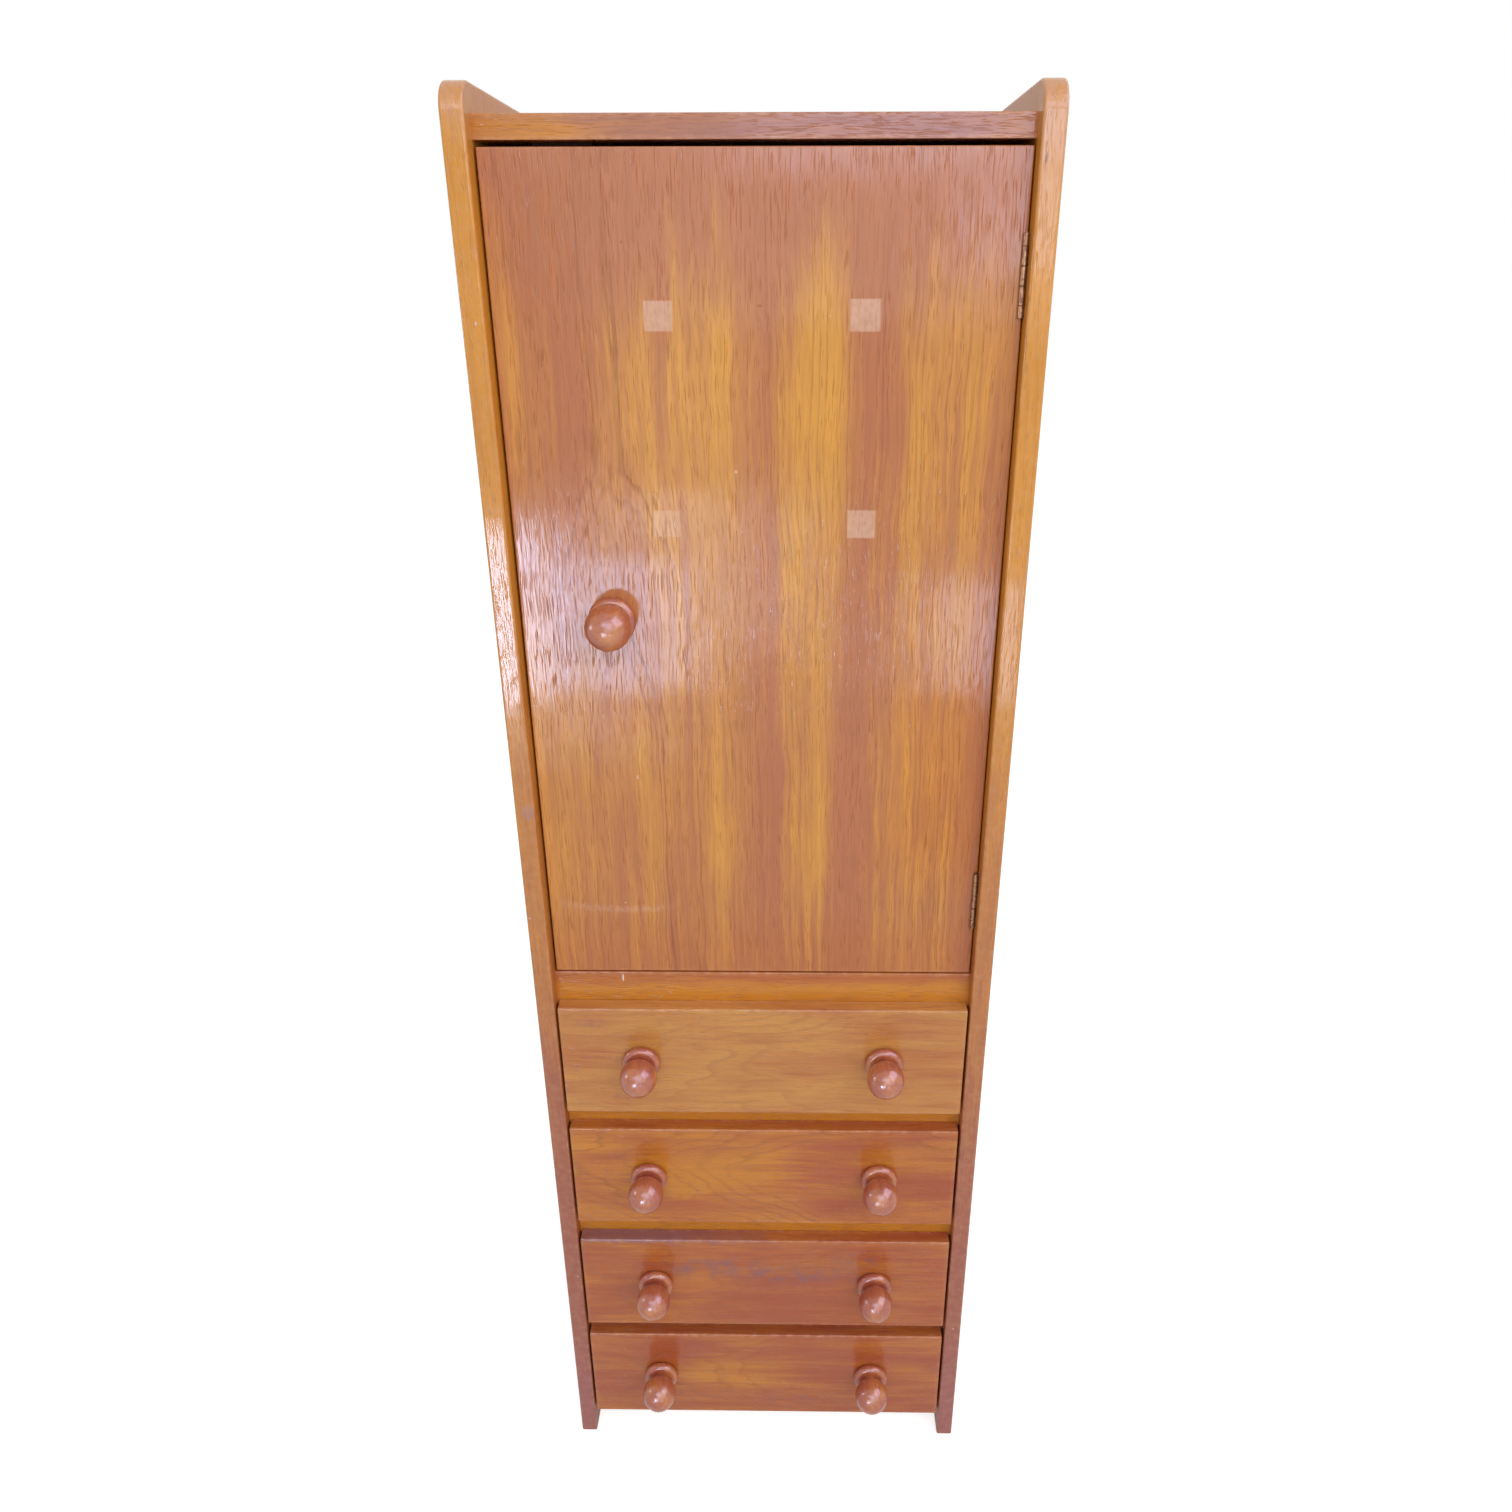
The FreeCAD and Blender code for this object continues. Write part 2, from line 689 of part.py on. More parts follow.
def drawer_side(index, direction):
    """Drawer side with the runner groove outside, and the bottom's and back's grooves inside."""
    base, top = box_range(index)
    outer = direction.x * box_half
    inner = direction.x * (box_half - box_thickness)
    panel = block((inner, outer), (lap_y(), box_rear_y), (base, top))
    groove_base = runner_level(index) - runner_under_gap
    groove_top = runner_level(index) + runner_height + seat_gap
    runner_groove = block((outer - direction.x * runner_groove_depth, outer),
                          (rail_back_y - runner_front_gap, box_rear_y), (groove_base, groove_top))
    back_housing = block((inner, inner + direction.x * box_housing_depth),
                         (box_back_y, box_back_y + box_thickness),
                         (bottom_range(index)[1], top))
    return cut_all(panel, [runner_groove, back_housing, bottom_space(index)])


def bottom_range(index):
    """Heights of the groove that holds a drawer bottom."""
    low = box_range(index)[0] + bottom_groove_height
    return low, low + bottom_thickness + panel_clearance


def bottom_space(index):
    """Space for the drawer bottom in the front, the sides and under the back."""
    reach = box_half - box_thickness + bottom_groove_depth
    return block((-reach, reach), (drawer_back_of_front - bottom_groove_depth, box_rear_y),
                 bottom_range(index))


def drawer_bottom(index):
    """Thin drawer bottom, a little smaller than its grooves."""
    reach = box_half - box_thickness + bottom_groove_depth - panel_clearance
    low = bottom_range(index)[0]
    y_range = (drawer_back_of_front - bottom_groove_depth + panel_clearance,
               box_back_y + box_thickness)
    return block((-reach, reach), y_range, (low, low + bottom_thickness))


def drawer_back(index):
    """Drawer back, housed between the sides and standing on the bottom."""
    reach = box_half - box_thickness + box_housing_depth
    low = bottom_range(index)[0] + bottom_thickness
    return block((-reach, reach), (box_back_y, box_back_y + box_thickness),
                 (low, box_range(index)[1]))


def drawer_front(index, holes):
    """Front that covers the rails, lapped for the sides and grooved for the bottom."""
    base, top = drawer_fronts[index]
    board = block((-front_half, front_half), (front_y, drawer_back_of_front), (base, top))
    board = ease_face(board, "Y", front_y, drawer_edge_radius)
    laps = [block((direction.x * (box_half - box_thickness), direction.x * front_half),
                  (lap_y(), drawer_back_of_front), box_range(index)) for direction in (LEFT, RIGHT)]
    return drilled(cut_all(board, laps + [bottom_space(index)]), holes)


def write_drawer(index):
    """One drawer: front, two sides, back, bottom, two knobs and their screws."""
    base, top = drawer_fronts[index]
    knob_z = (base + top) / 2 + knob_rise
    places = [(direction.x * knob_spacing / 2, knob_z) for direction in (LEFT, RIGHT)]
    knobs, pins, holes = knob_set(places, front_y, drawer_back_of_front - front_y,
                                  knob(drawer_knob_length, drawer_ball_radius,
                                       drawer_flange_radius, drawer_neck_radius))
    name = "drawer_%d_" % (drawer_count - index)
    write(name + "front", [drawer_front(index, holes)])
    write(name + "side_left", [drawer_side(index, LEFT)])
    write(name + "side_right", [drawer_side(index, RIGHT)])
    write(name + "back", [drawer_back(index)])
    write(name + "bottom", [drawer_bottom(index)])
    write(name + "knobs", knobs)
    write(name + "knob_screws", pins)


def main():
    """Writes every node of the chifforobe."""
    os.makedirs("parts", exist_ok=True)
    write_case()
    write_runners()
    write_fittings()
    write_door()
    write_hinges()
    for index in range(drawer_count):
        write_drawer(index)


main()
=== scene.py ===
import json
import math

import bpy
import numpy as np
from bpy.props import FloatProperty, FloatVectorProperty, IntProperty, PointerProperty
from mathutils import Matrix, Vector


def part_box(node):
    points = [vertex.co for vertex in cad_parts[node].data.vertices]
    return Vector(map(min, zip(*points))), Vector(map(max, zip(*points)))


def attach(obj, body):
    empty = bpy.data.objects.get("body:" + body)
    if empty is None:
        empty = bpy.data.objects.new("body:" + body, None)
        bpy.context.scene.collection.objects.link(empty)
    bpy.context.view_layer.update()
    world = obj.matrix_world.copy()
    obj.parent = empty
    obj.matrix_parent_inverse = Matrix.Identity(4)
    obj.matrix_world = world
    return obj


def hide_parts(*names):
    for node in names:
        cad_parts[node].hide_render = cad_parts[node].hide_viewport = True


bl_info = {
    "name": "Chifforobe",
    "version": (1, 0, 0),
    "blender": (4, 5, 0),
    "location": "View3D > Sidebar > Chifforobe",
    "description": "Surfaces, finishes and studio for a chifforobe with one door and four drawers",
    "category": "Object",
}

# Metres. +Z is up, -Y is the front, +X is the hinged side of the door.
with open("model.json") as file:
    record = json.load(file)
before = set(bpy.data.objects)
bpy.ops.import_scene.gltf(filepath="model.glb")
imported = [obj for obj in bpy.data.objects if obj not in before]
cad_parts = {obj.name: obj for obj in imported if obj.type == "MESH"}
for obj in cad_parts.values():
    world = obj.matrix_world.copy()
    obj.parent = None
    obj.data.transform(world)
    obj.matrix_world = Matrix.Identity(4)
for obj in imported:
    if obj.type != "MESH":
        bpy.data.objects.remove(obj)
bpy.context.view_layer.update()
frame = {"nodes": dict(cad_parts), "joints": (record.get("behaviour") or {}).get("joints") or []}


# ---- Settings ----------------------------------------------------------------------------------
def length(name, description, default):
    """A length setting, in metres."""
    return FloatProperty(name=name, description=description, default=default, min=0.0,
                         unit="LENGTH")


def colour(name, description, default):
    """A colour setting, in linear values."""
    return FloatVectorProperty(name=name, description=description, default=default,
                               size=3, min=0.0, max=1.0, subtype="COLOR")


def radiance(name, description, default):
    """How bright a panel or the room is, where 1 is white."""
    return FloatProperty(name=name, description=description, default=default, min=0.0, max=40.0)


def angle(name, description, default):
    """An angle, in radians."""
    return FloatProperty(name=name, description=description, default=default, subtype="ANGLE",
                         unit="ROTATION")


class ChifforobeSizes(bpy.types.PropertyGroup):
    """Sizes of edges and turnings; everything else comes from the frame."""

    nose: length("Side nose", "Radius of the top front corner of each side", 0.026)
    side_edge: length("Side edges", "Easing of the sides' edges", 0.0026)
    raw_edge: length("Plain edges", "Easing of edges that are only sanded", 0.0005)
    rail_edge: length("Rail edges", "Easing of the rails' edges", 0.0014)
    top_edge: length("Top board edges", "Easing of the top board's edges", 0.0007)
    door_edge: length("Door edges", "Easing of the door's front edges", 0.0013)
    drawer_edge: length("Drawer front edges", "Easing of the drawer fronts' edges", 0.0021)
    worn_band: length("Worn band", "How far wear reaches in from an edge", 0.004)
    drawer_ball: length("Drawer knob ball", "Radius of the ball of a drawer knob", 0.0215)
    door_ball: length("Door knob ball", "Radius of the ball of the door knob", 0.0228)
    drawer_neck: length("Drawer knob neck", "Radius of the neck of a drawer knob", 0.011)
    door_neck: length("Door knob neck", "Radius of the neck of the door knob", 0.0145)
    collar: length("Knob collar", "Thickness of the round-edged collar of a knob", 0.0115)
    knuckle: length("Hinge knuckle", "Radius of the hinge knuckles", 0.0027)
    end_knuckle: length("End knuckle", "Length of the first and last knuckle of a hinge", 0.0109)
    leaf: length("Hinge leaf", "Thickness of the hinge leaves", 0.0012)
    rounding_steps: IntProperty(name="Rounding steps", description="Rows of faces in an eased edge",
                                default=5, min=2, max=12)
    turning_steps: IntProperty(name="Turning steps", description="Faces round a turned knob",
                               default=72, min=16, max=128)


class ChifforobeColours(bpy.types.PropertyGroup):
    """Colours of the timbers and fittings, before lacquer."""

    gold: colour("Golden timber", "Pale golden streaks of the door", (0.71, 0.32, 0.045))
    rose: colour("Rosy timber", "Pink-brown streaks of the door", (0.48, 0.16, 0.062))
    umber: colour("Late wood", "Dark lines of the grain", (0.26, 0.07, 0.018))
    side_gold: colour("Golden side", "Upper part of the sides", (0.68, 0.28, 0.032))
    side_red: colour("Red side", "Lower part of the sides", (0.365, 0.107, 0.07))
    drawer_gold: colour("Golden drawer", "Golden figure of the drawer fronts", (0.61, 0.225, 0.016))
    drawer_red: colour("Red drawer", "Red-brown ground of the drawer fronts", (0.41, 0.088, 0.028))
    dusky: colour("Dusky top board", "Ground of the top board's front", (0.37, 0.132, 0.088))
    tan: colour("Tan drawer", "Golden figure of the top drawer", (0.6, 0.265, 0.06))
    stain: colour("Stain", "Purple-grey blotches", (0.27, 0.105, 0.11))
    knob: colour("Turned timber", "Ball and collar of the knobs", (0.42, 0.098, 0.06))
    pale: colour("Bare patch", "Pale squares and nicks in the lacquer", (0.74, 0.46, 0.33))
    inner: colour("Inner board", "Boards inside the case", (0.52, 0.31, 0.14))
    box: colour("Drawer box", "Sides and backs of the drawers", (0.62, 0.385, 0.19))
    runner: colour("Runner", "Bare hardwood of the runners", (0.55, 0.35, 0.17))
    panel: colour("Thin panel", "Back panel and drawer bottoms", (0.43, 0.245, 0.115))
    brass: colour("Aged brass", "Hinges and their screws", (0.42, 0.23, 0.125))
    tarnish: colour("Tarnish", "Brown film on the brass", (0.15, 0.075, 0.048))
    steel: colour("Steel", "Screws, nails and plates", (0.55, 0.54, 0.52))
    catch: colour("Catch", "Moulded housing of the door catch", (0.045, 0.026, 0.017))
    floor: colour("Floor", "Studio floor", (0.8, 0.8, 0.8))


class ChifforobeStudio(bpy.types.PropertyGroup):
    """Light levels and the camera."""

    sky: radiance("Room light", "Even light from all round", 0.5)
    key: radiance("Key light", "The large panel up on the right", 1.62)
    window: radiance("Window panel", "The wide panel far out on the right", 4.2)
    left: radiance("Left panel", "The small panel on the left", 8.0)
    left_pane: radiance("Left pane", "The low pane far left", 23.0)
    right_pane: radiance("Right pane", "The low pane beside it", 13.0)
    low_right: radiance("Low right panel", "The low panel on the right", 5.0)
    high: radiance("High panels", "The panels above eye level", 3.0)
    haze: radiance("Pale panels", "The dim panels round the panes", 2.5)
    eye: FloatVectorProperty(name="Camera place", description="Where the camera stands",
                             default=(0.03687, -1.21421, 1.49862), size=3, subtype="TRANSLATION",
                             unit="LENGTH")
    pitch: angle("Pitch", "Angle of the camera below the horizon", 0.3994)
    yaw: angle("Yaw", "Turn of the camera to the right", -0.0134)
    roll: angle("Roll", "Lean of the camera", -0.0017)
    lens: FloatProperty(name="Lens", description="Focal length on a 36 mm wide sensor, millimetres",
                        default=25.654, min=1.0)
    shift: FloatVectorProperty(name="Shift", description="Shift of the frame, sideways and up",
                               default=(-0.0171, -0.0152), size=2)


class ChifforobeSettings(bpy.types.PropertyGroup):
    """All settings of the chifforobe."""

    sizes: PointerProperty(type=ChifforobeSizes)
    colours: PointerProperty(type=ChifforobeColours)
    studio: PointerProperty(type=ChifforobeStudio)


def sizes():
    """The size settings of the scene."""
    return bpy.context.scene.chifforobe.sizes


def colours():
    """The colour settings of the scene."""
    return bpy.context.scene.chifforobe.colours


# ---- Surfaces ----------------------------------------------------------------------------------
def span(node):
    """Lowest and highest corner of a CAD node as arrays."""
    low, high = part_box(node)
    return np.array(low, float), np.array(high, float)


def welded(sheets):
    """Joins sheets of points, each (rows, columns, 3), into points and four-sided faces.

    Neighbouring points of a sheet make a face. Points that meet within a micrometre become one,
    so seams and poles are closed.
    """
    points, quads, start = [], [], 0
    for sheet in sheets:
        rows, columns = sheet.shape[:2]
        index = start + np.arange(rows * columns).reshape(rows, columns)
        corners = (index[:-1, :-1], index[1:, :-1], index[1:, 1:], index[:-1, 1:])
        quads.append(np.stack([c.ravel() for c in corners], axis=1))
        points.append(sheet.reshape(-1, 3))
        start += rows * columns
    points, quads = np.concatenate(points), np.concatenate(quads)
    per_metre, off_the_marks = 1e6, 0.37  # so that round sizes don't lie on a key's limit
    keys = np.floor(points * per_metre + off_the_marks).astype(np.int64)
    _, first, place = np.unique(keys, axis=0, return_index=True, return_inverse=True)
    return points[first], place.reshape(-1)[quads]


def outward(points, quads):
    """The faces, turned round if the volume that they enclose comes out negative."""
    a, b, c, d = (points[quads[:, k]] for k in range(4))
    volume = np.einsum("ij,ij->i", np.cross(b - a, c - a), a).sum()
    volume += np.einsum("ij,ij->i", np.cross(c - a, d - a), a).sum()
    return quads if volume > 0 else quads[:, ::-1]


def piece(name, sheets, finish, body, replaced, grain=None, edge=None):
    """Makes one closed piece from its sheets, in place, and gives it to a body of the frame.

    Corners of a face that fell together are dropped, and so is a face without three left. grain
    turns the points into (across, depth, along) of the board, and edge into 1 at a worn edge and
    0 elsewhere; both are kept on the points for the finish to read.
    """
    points, quads = welded(sheets)
    quads = outward(points, quads)
    keep = quads != np.roll(quads, 1, axis=1)
    counts = keep.sum(axis=1)
    solid = counts > 2
    loops = quads[solid][keep[solid]]
    starts = np.concatenate([[0], np.cumsum(counts[solid])[:-1]])
    mesh = bpy.data.meshes.new(name)
    mesh.vertices.add(len(points))
    mesh.vertices.foreach_set("co", points.astype(np.float32).ravel())
    mesh.loops.add(len(loops))
    mesh.loops.foreach_set("vertex_index", loops.astype(np.int32))
    mesh.polygons.add(int(solid.sum()))
    mesh.polygons.foreach_set("loop_start", starts.astype(np.int32))
    mesh.update(calc_edges=True)
    if mesh.validate():
        raise RuntimeError(name + " has faces that are not real")
    mesh.polygons.foreach_set("use_smooth", np.ones(len(mesh.polygons), bool))
    crease = math.radians(38.0)
    mesh.set_sharp_from_angle(angle=crease)
    for title, kind, field, worked_out in (("grain", "FLOAT_VECTOR", "vector", grain),
                                           ("edge", "FLOAT", "value", edge)):
        if worked_out:
            layer = mesh.attributes.new(title, kind, "POINT")
            layer.data.foreach_set(field, worked_out(points).astype(np.float32).ravel())
    mesh.materials.append(finish)
    made = bpy.data.objects.new(name, mesh)
    bpy.context.scene.collection.objects.link(made)
    weighted = made.modifiers.new("Even shading", "WEIGHTED_NORMAL")
    weighted.keep_sharp = True
    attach(made, body)
    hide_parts(*replaced)
    return made


def ticks(low, high, radius, band, cells, steps):
    """Places along one side of a block: the two roundings in equal angles, a worn band inside
    each, and even cells between. A place in a rounding is its inner corner less radius times the
    tangent of the angle, from 45 degrees to none."""
    bend = radius * np.tan(np.linspace(math.pi / 4, 0.0, steps + 1))
    middle = np.linspace(low + radius + band, high - radius - band, cells + 1)
    return np.concatenate([low + radius - bend, middle, high - radius + bend[::-1]])


def eased_block(low, high, front, rear, band, cell, steps):
    """Six sheets of a block whose edges are rounded, more at the front than at the rear.

    Each point of the plain block is drawn to the nearest point of a smaller inner block, and set
    off from it by the radius. The radius runs from front to rear along Y.
    """
    low, high = np.array(low, float), np.array(high, float)
    band = min(band, *(0.3 * (high - low)))
    places = []
    for axis in range(3):
        cells = max(1, int(round((high[axis] - low[axis]) / cell)))
        places.append(ticks(low[axis], high[axis], front, band, cells, steps))
    sheets = []
    for axis in range(3):
        u, v = (axis + 1) % 3, (axis + 2) % 3
        for end in (low[axis], high[axis]):
            flat = np.zeros((len(places[u]), len(places[v]), 3))
            flat[..., axis] = end
            flat[..., u] = places[u][:, None]
            flat[..., v] = places[v][None, :]
            depth = np.clip((flat[..., 1] - low[1] - front) / (high[1] - low[1] - 2 * front), 0, 1)
            radius = (front + (rear - front) * depth)[..., None]
            inner = np.clip(flat, low + radius, high - radius)
            away = flat - inner
            size = np.linalg.norm(away, axis=-1, keepdims=True)
            sheet = inner + away / np.maximum(size, 1e-12) * radius
            sheets.append(sheet if end == high[axis] else sheet.transpose(1, 0, 2))
    return sheets


def turned(profile, centre, steps, upright=False):
    """One sheet turned about a line through the centre, level along -Y or upright.

    The profile holds (radius, distance forward) pairs, or (radius, height) pairs for an upright
    line. A point is the centre, plus the radius times the cosine along X and the sine along the
    other axis that the line is square to, moved along the line.
    """
    radius, along = (np.array(profile, float)[:, k, None] for k in (0, 1))
    turn = np.linspace(0.0, 2 * math.pi, steps + 1)
    x, aside, along = centre[0] + radius * np.cos(turn), radius * np.sin(turn), along + 0 * turn
    if upright:
        return np.stack([x, centre[1] + aside, along], axis=-1)
    return np.stack([x, centre[1] - along, centre[2] + aside], axis=-1)


def arc(centre, radius, start, end, steps):
    """Points (radius out, forward) on an arc of a turning's profile, angles in degrees: the centre
    plus the radius times the angle's cosine outward and its sine forward."""
    angle = np.radians(np.linspace(start, end, steps + 1))
    return [(centre[0] + radius * math.cos(a), centre[1] + radius * math.sin(a)) for a in angle]


# ---- Finishes ----------------------------------------------------------------------------------
class Finish:
    """The node tree of a material, or of the room. Its calls add a node, feed it and give back
    its output; a number or a colour that is fed is set on the socket itself."""

    def __init__(self, name, owners="materials"):
        self.owner = getattr(bpy.data, owners).new(name)
        self.owner.use_nodes = True
        self.tree = self.owner.node_tree
        self.tree.nodes.clear()

    def node(self, kind, fed=(), out=0, **settings):
        """Adds a node with these settings, feeds its sockets by place or by name, and gives back
        one output."""
        node = self.tree.nodes.new("ShaderNode" + kind)
        for key, value in settings.items():
            setattr(node, key, value)
        for key, value in fed.items() if isinstance(fed, dict) else enumerate(fed):
            socket = node.inputs[key]
            if isinstance(value, bpy.types.NodeSocket):
                self.tree.links.new(value, socket)
            else:
                socket.default_value = (*value[:3], 1.0) if socket.type == "RGBA" else value
        return node.outputs[out] if node.outputs else None

    def math(self, operation, *numbers):
        """An operation on numbers."""
        return self.node("Math", numbers, operation=operation)

    def chain(self, operation, first, *others):
        """An operation on two numbers, carried on through the others."""
        for other in others:
            first = self.math(operation, first, other)
        return first

    def times(self, *numbers):
        """A product."""
        return self.chain("MULTIPLY", *numbers)

    def heap(self, base, *layers):
        """A number plus the layers, each a number and what it is multiplied by."""
        for layer, amount in layers:
            base = self.math("MULTIPLY_ADD", layer, amount, base)
        return base

    def off(self, value, middle):
        """How far a number is from a middle."""
        return self.math("ABSOLUTE", self.math("SUBTRACT", value, middle))

    def diagonal(self, a, b):
        """The square root of the sum of two squares."""
        return self.math("SQRT", self.math("ADD", self.times(a, a), self.times(b, b)))

    def swing(self, value, amount, about=1.0):
        """A noise's swing about its middle times the amount, set on another number."""
        return self.heap(about, (self.math("SUBTRACT", value, 0.5), amount))

    def fade(self, value, low, high, start=0.0, end=1.0, step="SMOOTHSTEP"):
        """A smooth step from start, where the value is low, to end, where it is high."""
        return self.node("MapRange", (value, low, high, start, end), interpolation_type=step,
                         clamp=True)

    def window(self, value, low, high, soft):
        """1 between two ends and 0 beyond them, with soft steps."""
        return self.times(self.fade(value, low - soft, low + soft),
                          self.fade(value, high - soft, high + soft, 1.0, 0.0))

    def scaled(self, vector, factors):
        """A vector times three factors."""
        return self.node("VectorMath", (vector, factors), operation="MULTIPLY")

    def shifted(self, vector, offsets):
        """A vector plus three offsets."""
        return self.node("VectorMath", (vector, offsets), operation="ADD")

    def parts(self, vector):
        """The three numbers of a vector."""
        return tuple(self.node("SeparateXYZ", (vector,)).node.outputs)

    def joined(self, *numbers):
        """A vector from three numbers."""
        return self.node("CombineXYZ", numbers)

    def noise(self, vector, stretch, detail=2.0, roughness=0.5, distortion=0.0):
        """Smooth noise from 0 to 1; stretch is its lumps per unit along each axis."""
        return self.node("TexNoise", {"Vector": self.scaled(vector, stretch), "Scale": 1.0,
                                      "Detail": detail, "Roughness": roughness,
                                      "Distortion": distortion}, noise_dimensions="3D")

    def mix(self, factor, first, second):
        """A mix of two colours."""
        return self.node("Mix", {0: factor, 6: first, 7: second}, 2, data_type="RGBA",
                         clamp_factor=True)

    def lit(self, colour, factor):
        """A colour times a number."""
        return self.node("VectorMath", {0: colour, "Scale": factor}, operation="SCALE")

    def bump(self, height, distance):
        """A normal bent by a height of this many metres."""
        return self.node("Bump", {"Strength": 1.0, "Distance": distance, "Height": height})

    def attribute(self, name, output):
        """A named attribute of the piece."""
        return self.node("Attribute", (), output, attribute_type="GEOMETRY", attribute_name=name)

    def place(self):
        """Object coordinates, which are the frame's own metres."""
        return self.node("TexCoord", (), "Object")

    def rays(self):
        """What kind of ray looks."""
        return self.node("LightPath").node.outputs

    def surface(self, **inputs):
        """Ends the tree in one shader with these inputs; returns the material."""
        fed = {name.replace("_", " "): value for name, value in inputs.items()}
        self.node("OutputMaterial", (self.node("BsdfPrincipled", fed),))
        return self.owner


# What a timber's look is made of, where a finish doesn't say otherwise: where its noises start, how
# far its grain wanders, the lumps per metre of its patches and pores, how strongly patches, flames,
# streaks, fine lines, stripes, shimmer and pores show, the bands and how softly they end, how
# ragged and swirling its rings are, and how much its edges are worn.
usual_look = {"seed": (0.0, 0.0, 0.0), "wander": 0.012, "broad": (17.0, 17.0, 1.9),
              "pore": (900.0, 900.0, 66.0), "flame": 0.5, "ragged": 0.5, "streaks": 0.22,
              "fines": 0.24, "stripes": 0.0, "shimmer": 0.1, "pores": 0.35, "bands": (),
              "soft": 0.09, "jag": 1.6, "swirl": 2.0, "wear": 0.45}


class Timber(Finish):
    """Lacquered timber from its look.

    The board's own coordinates are across, depth and along the grain. Rings are distances from a
    pith line that leans away from the face and then runs level with it, so that they run out in
    pointed arches and then straight. Streaks, fine lines and pores are noises drawn out along the
    grain. Gold and rose are mixed by broad patches, by a slow change along the board, and by bands
    whose sides wander and whose ends are feathered.
    """

    def __init__(self, name, **look):
        super().__init__(name)
        self.look = look = {**usual_look, **look}
        umber = colours().umber
        own = self.attribute("grain", "Vector")
        grain = self.shifted(own, look["seed"])
        wander = self.noise(grain, (9.0, 9.0, 2.2), 1.0)
        wobble = self.noise(grain, (16.0, 16.0, 13.0), 1.0)
        drift = self.swing(wobble, 0.007, self.swing(wander, look["wander"], 0.0))
        across, depth, along = self.parts(grain)
        bent = self.joined(self.math("ADD", across, drift), depth, along)
        broad = self.noise(bent, look["broad"])
        flame = self.noise(bent, (36.0, 36.0, 4.6), 2.0, 0.55)
        streak = self.noise(bent, (105.0, 105.0, 7.5), 3.0, 0.6)
        fine = self.noise(bent, (330.0, 330.0, 17.0), 3.0, 0.65)
        feather = self.noise(bent, (130.0, 130.0, 1.6), 2.0, 0.7)
        pore = self.noise(bent, look["pore"], 1.0)
        shimmer = self.noise(bent, (9.0, 9.0, 24.0))

        # Gold and rose.
        tone = look["tone"]
        for part, amount in ((broad, look["patchy"]), (flame, look["flame"]),
                             (streak, look["ragged"]), (fine, look["ragged"] * 0.7),
                             (feather, look["stripes"])):
            tone = self.swing(part, amount, tone)
        across, depth, along = self.parts(own)
        if "ramp" in look:
            tone = self.math("ADD", tone, self.fade(along, *look["ramp"]))
        side = self.math("ADD", across, drift)
        wavy = self.swing(flame, 0.03, self.swing(streak, 0.022, side))
        loose = self.swing(feather, 0.15, along)
        for centre, half, low, high, strength in look["bands"]:
            band = self.fade(self.off(wavy, centre), half * 0.3, half * 1.5, strength, 0.0)
            band = self.times(band, self.window(loose, low, high, look["soft"]))
            tone = self.math("ADD", tone, band)
        shade = self.mix(self.fade(tone, 0.05, 0.95), look["rose"], look["gold"])

        # Rings.
        pith, lean, deep, shallow, start, end, spacing = look["pith"]
        away = self.heap(self.math("SUBTRACT", side, pith), (along, -lean))
        under = self.math("ADD", self.fade(along, start, end, shallow, deep, "LINEAR"), depth)
        reach = self.diagonal(away, under)
        ring = self.heap(self.math("DIVIDE", reach, spacing), (streak, look["jag"]),
                         (wander, 2.0), (broad, look["swirl"]))
        turn = self.math("FRACT", ring)
        count = self.heap(0.19, (self.math("FLOOR", ring), 0.37))
        odd = self.noise(self.joined(0.3, 0.7, count), (1.0, 1.0, 1.0), 0.0)
        line = self.times(self.fade(turn, 0.58, 0.9), self.fade(turn, 0.91, 1.0, 1.0, 0.0),
                          self.fade(odd, 0.42, 0.62, 0.08, 1.0),
                          self.fade(broad, 0.3, 0.65, 0.35, 1.0))
        if "lined" in look:
            line = self.times(line, self.fade(reach, *look["lined"]))
        shade = self.mix(self.times(line, look["lines"]), shade, umber)

        # Streaks and pores.
        for part, amount in ((streak, look["streaks"]), (fine, look["fines"]),
                             (feather, 0.3 * look["stripes"]), (shimmer, look["shimmer"])):
            shade = self.lit(shade, self.swing(part, amount))
        pore = self.times(self.fade(pore, 0.55, 0.68), self.fade(streak, 0.4, 0.6, 0.25, 1.0))
        darkness = look["pores"]
        # Painted reflection: over the patch where the low panes are mirrored in the door, the pores
        # are darkened more, as the reflection breaks at them; the pores themselves are the
        # timber's.
        if "coarse" in look:
            centre, half, low, high, extra = look["coarse"]
            mirrored_pane_patch = self.fade(self.off(side, centre), half * 0.5, half * 1.5, extra, 0.0)
            mirrored_pane_patch = self.times(mirrored_pane_patch, self.window(along, low, high, 0.04))
            darkness = self.math("ADD", mirrored_pane_patch, darkness)
        self.shade = self.mix(self.times(pore, darkness), shade, umber)
        self.height = self.heap(fine, (pore, -1.1), (line, -0.15))
        self.streak, self.fine, self.pore = streak, fine, pore
        self.across, self.behind, self.up = self.parts(self.place())

    def lay(self, cover, tint):
        """Lays a colour over the timber, as far as it covers."""
        self.shade = self.mix(cover, self.shade, tint)

    def kept_to_front(self, mark):
        """A mark's strength on the front faces, and none behind them."""
        front = float(span("door")[0][1])
        return self.times(mark, self.fade(self.behind, front + 0.001, front + 0.003, 1.0, 0.0))

    def spot(self, x, z, wide, high, strength, soft=0.35):
        """A soft oval mark on a front, from its middle and half sizes."""
        a = self.math("DIVIDE", self.math("SUBTRACT", self.across, x), wide)
        b = self.math("DIVIDE", self.math("SUBTRACT", self.up, z), high)
        return self.kept_to_front(self.fade(self.diagonal(a, b), 1.0 - soft, 1.0 + soft,
                                            strength, 0.0))

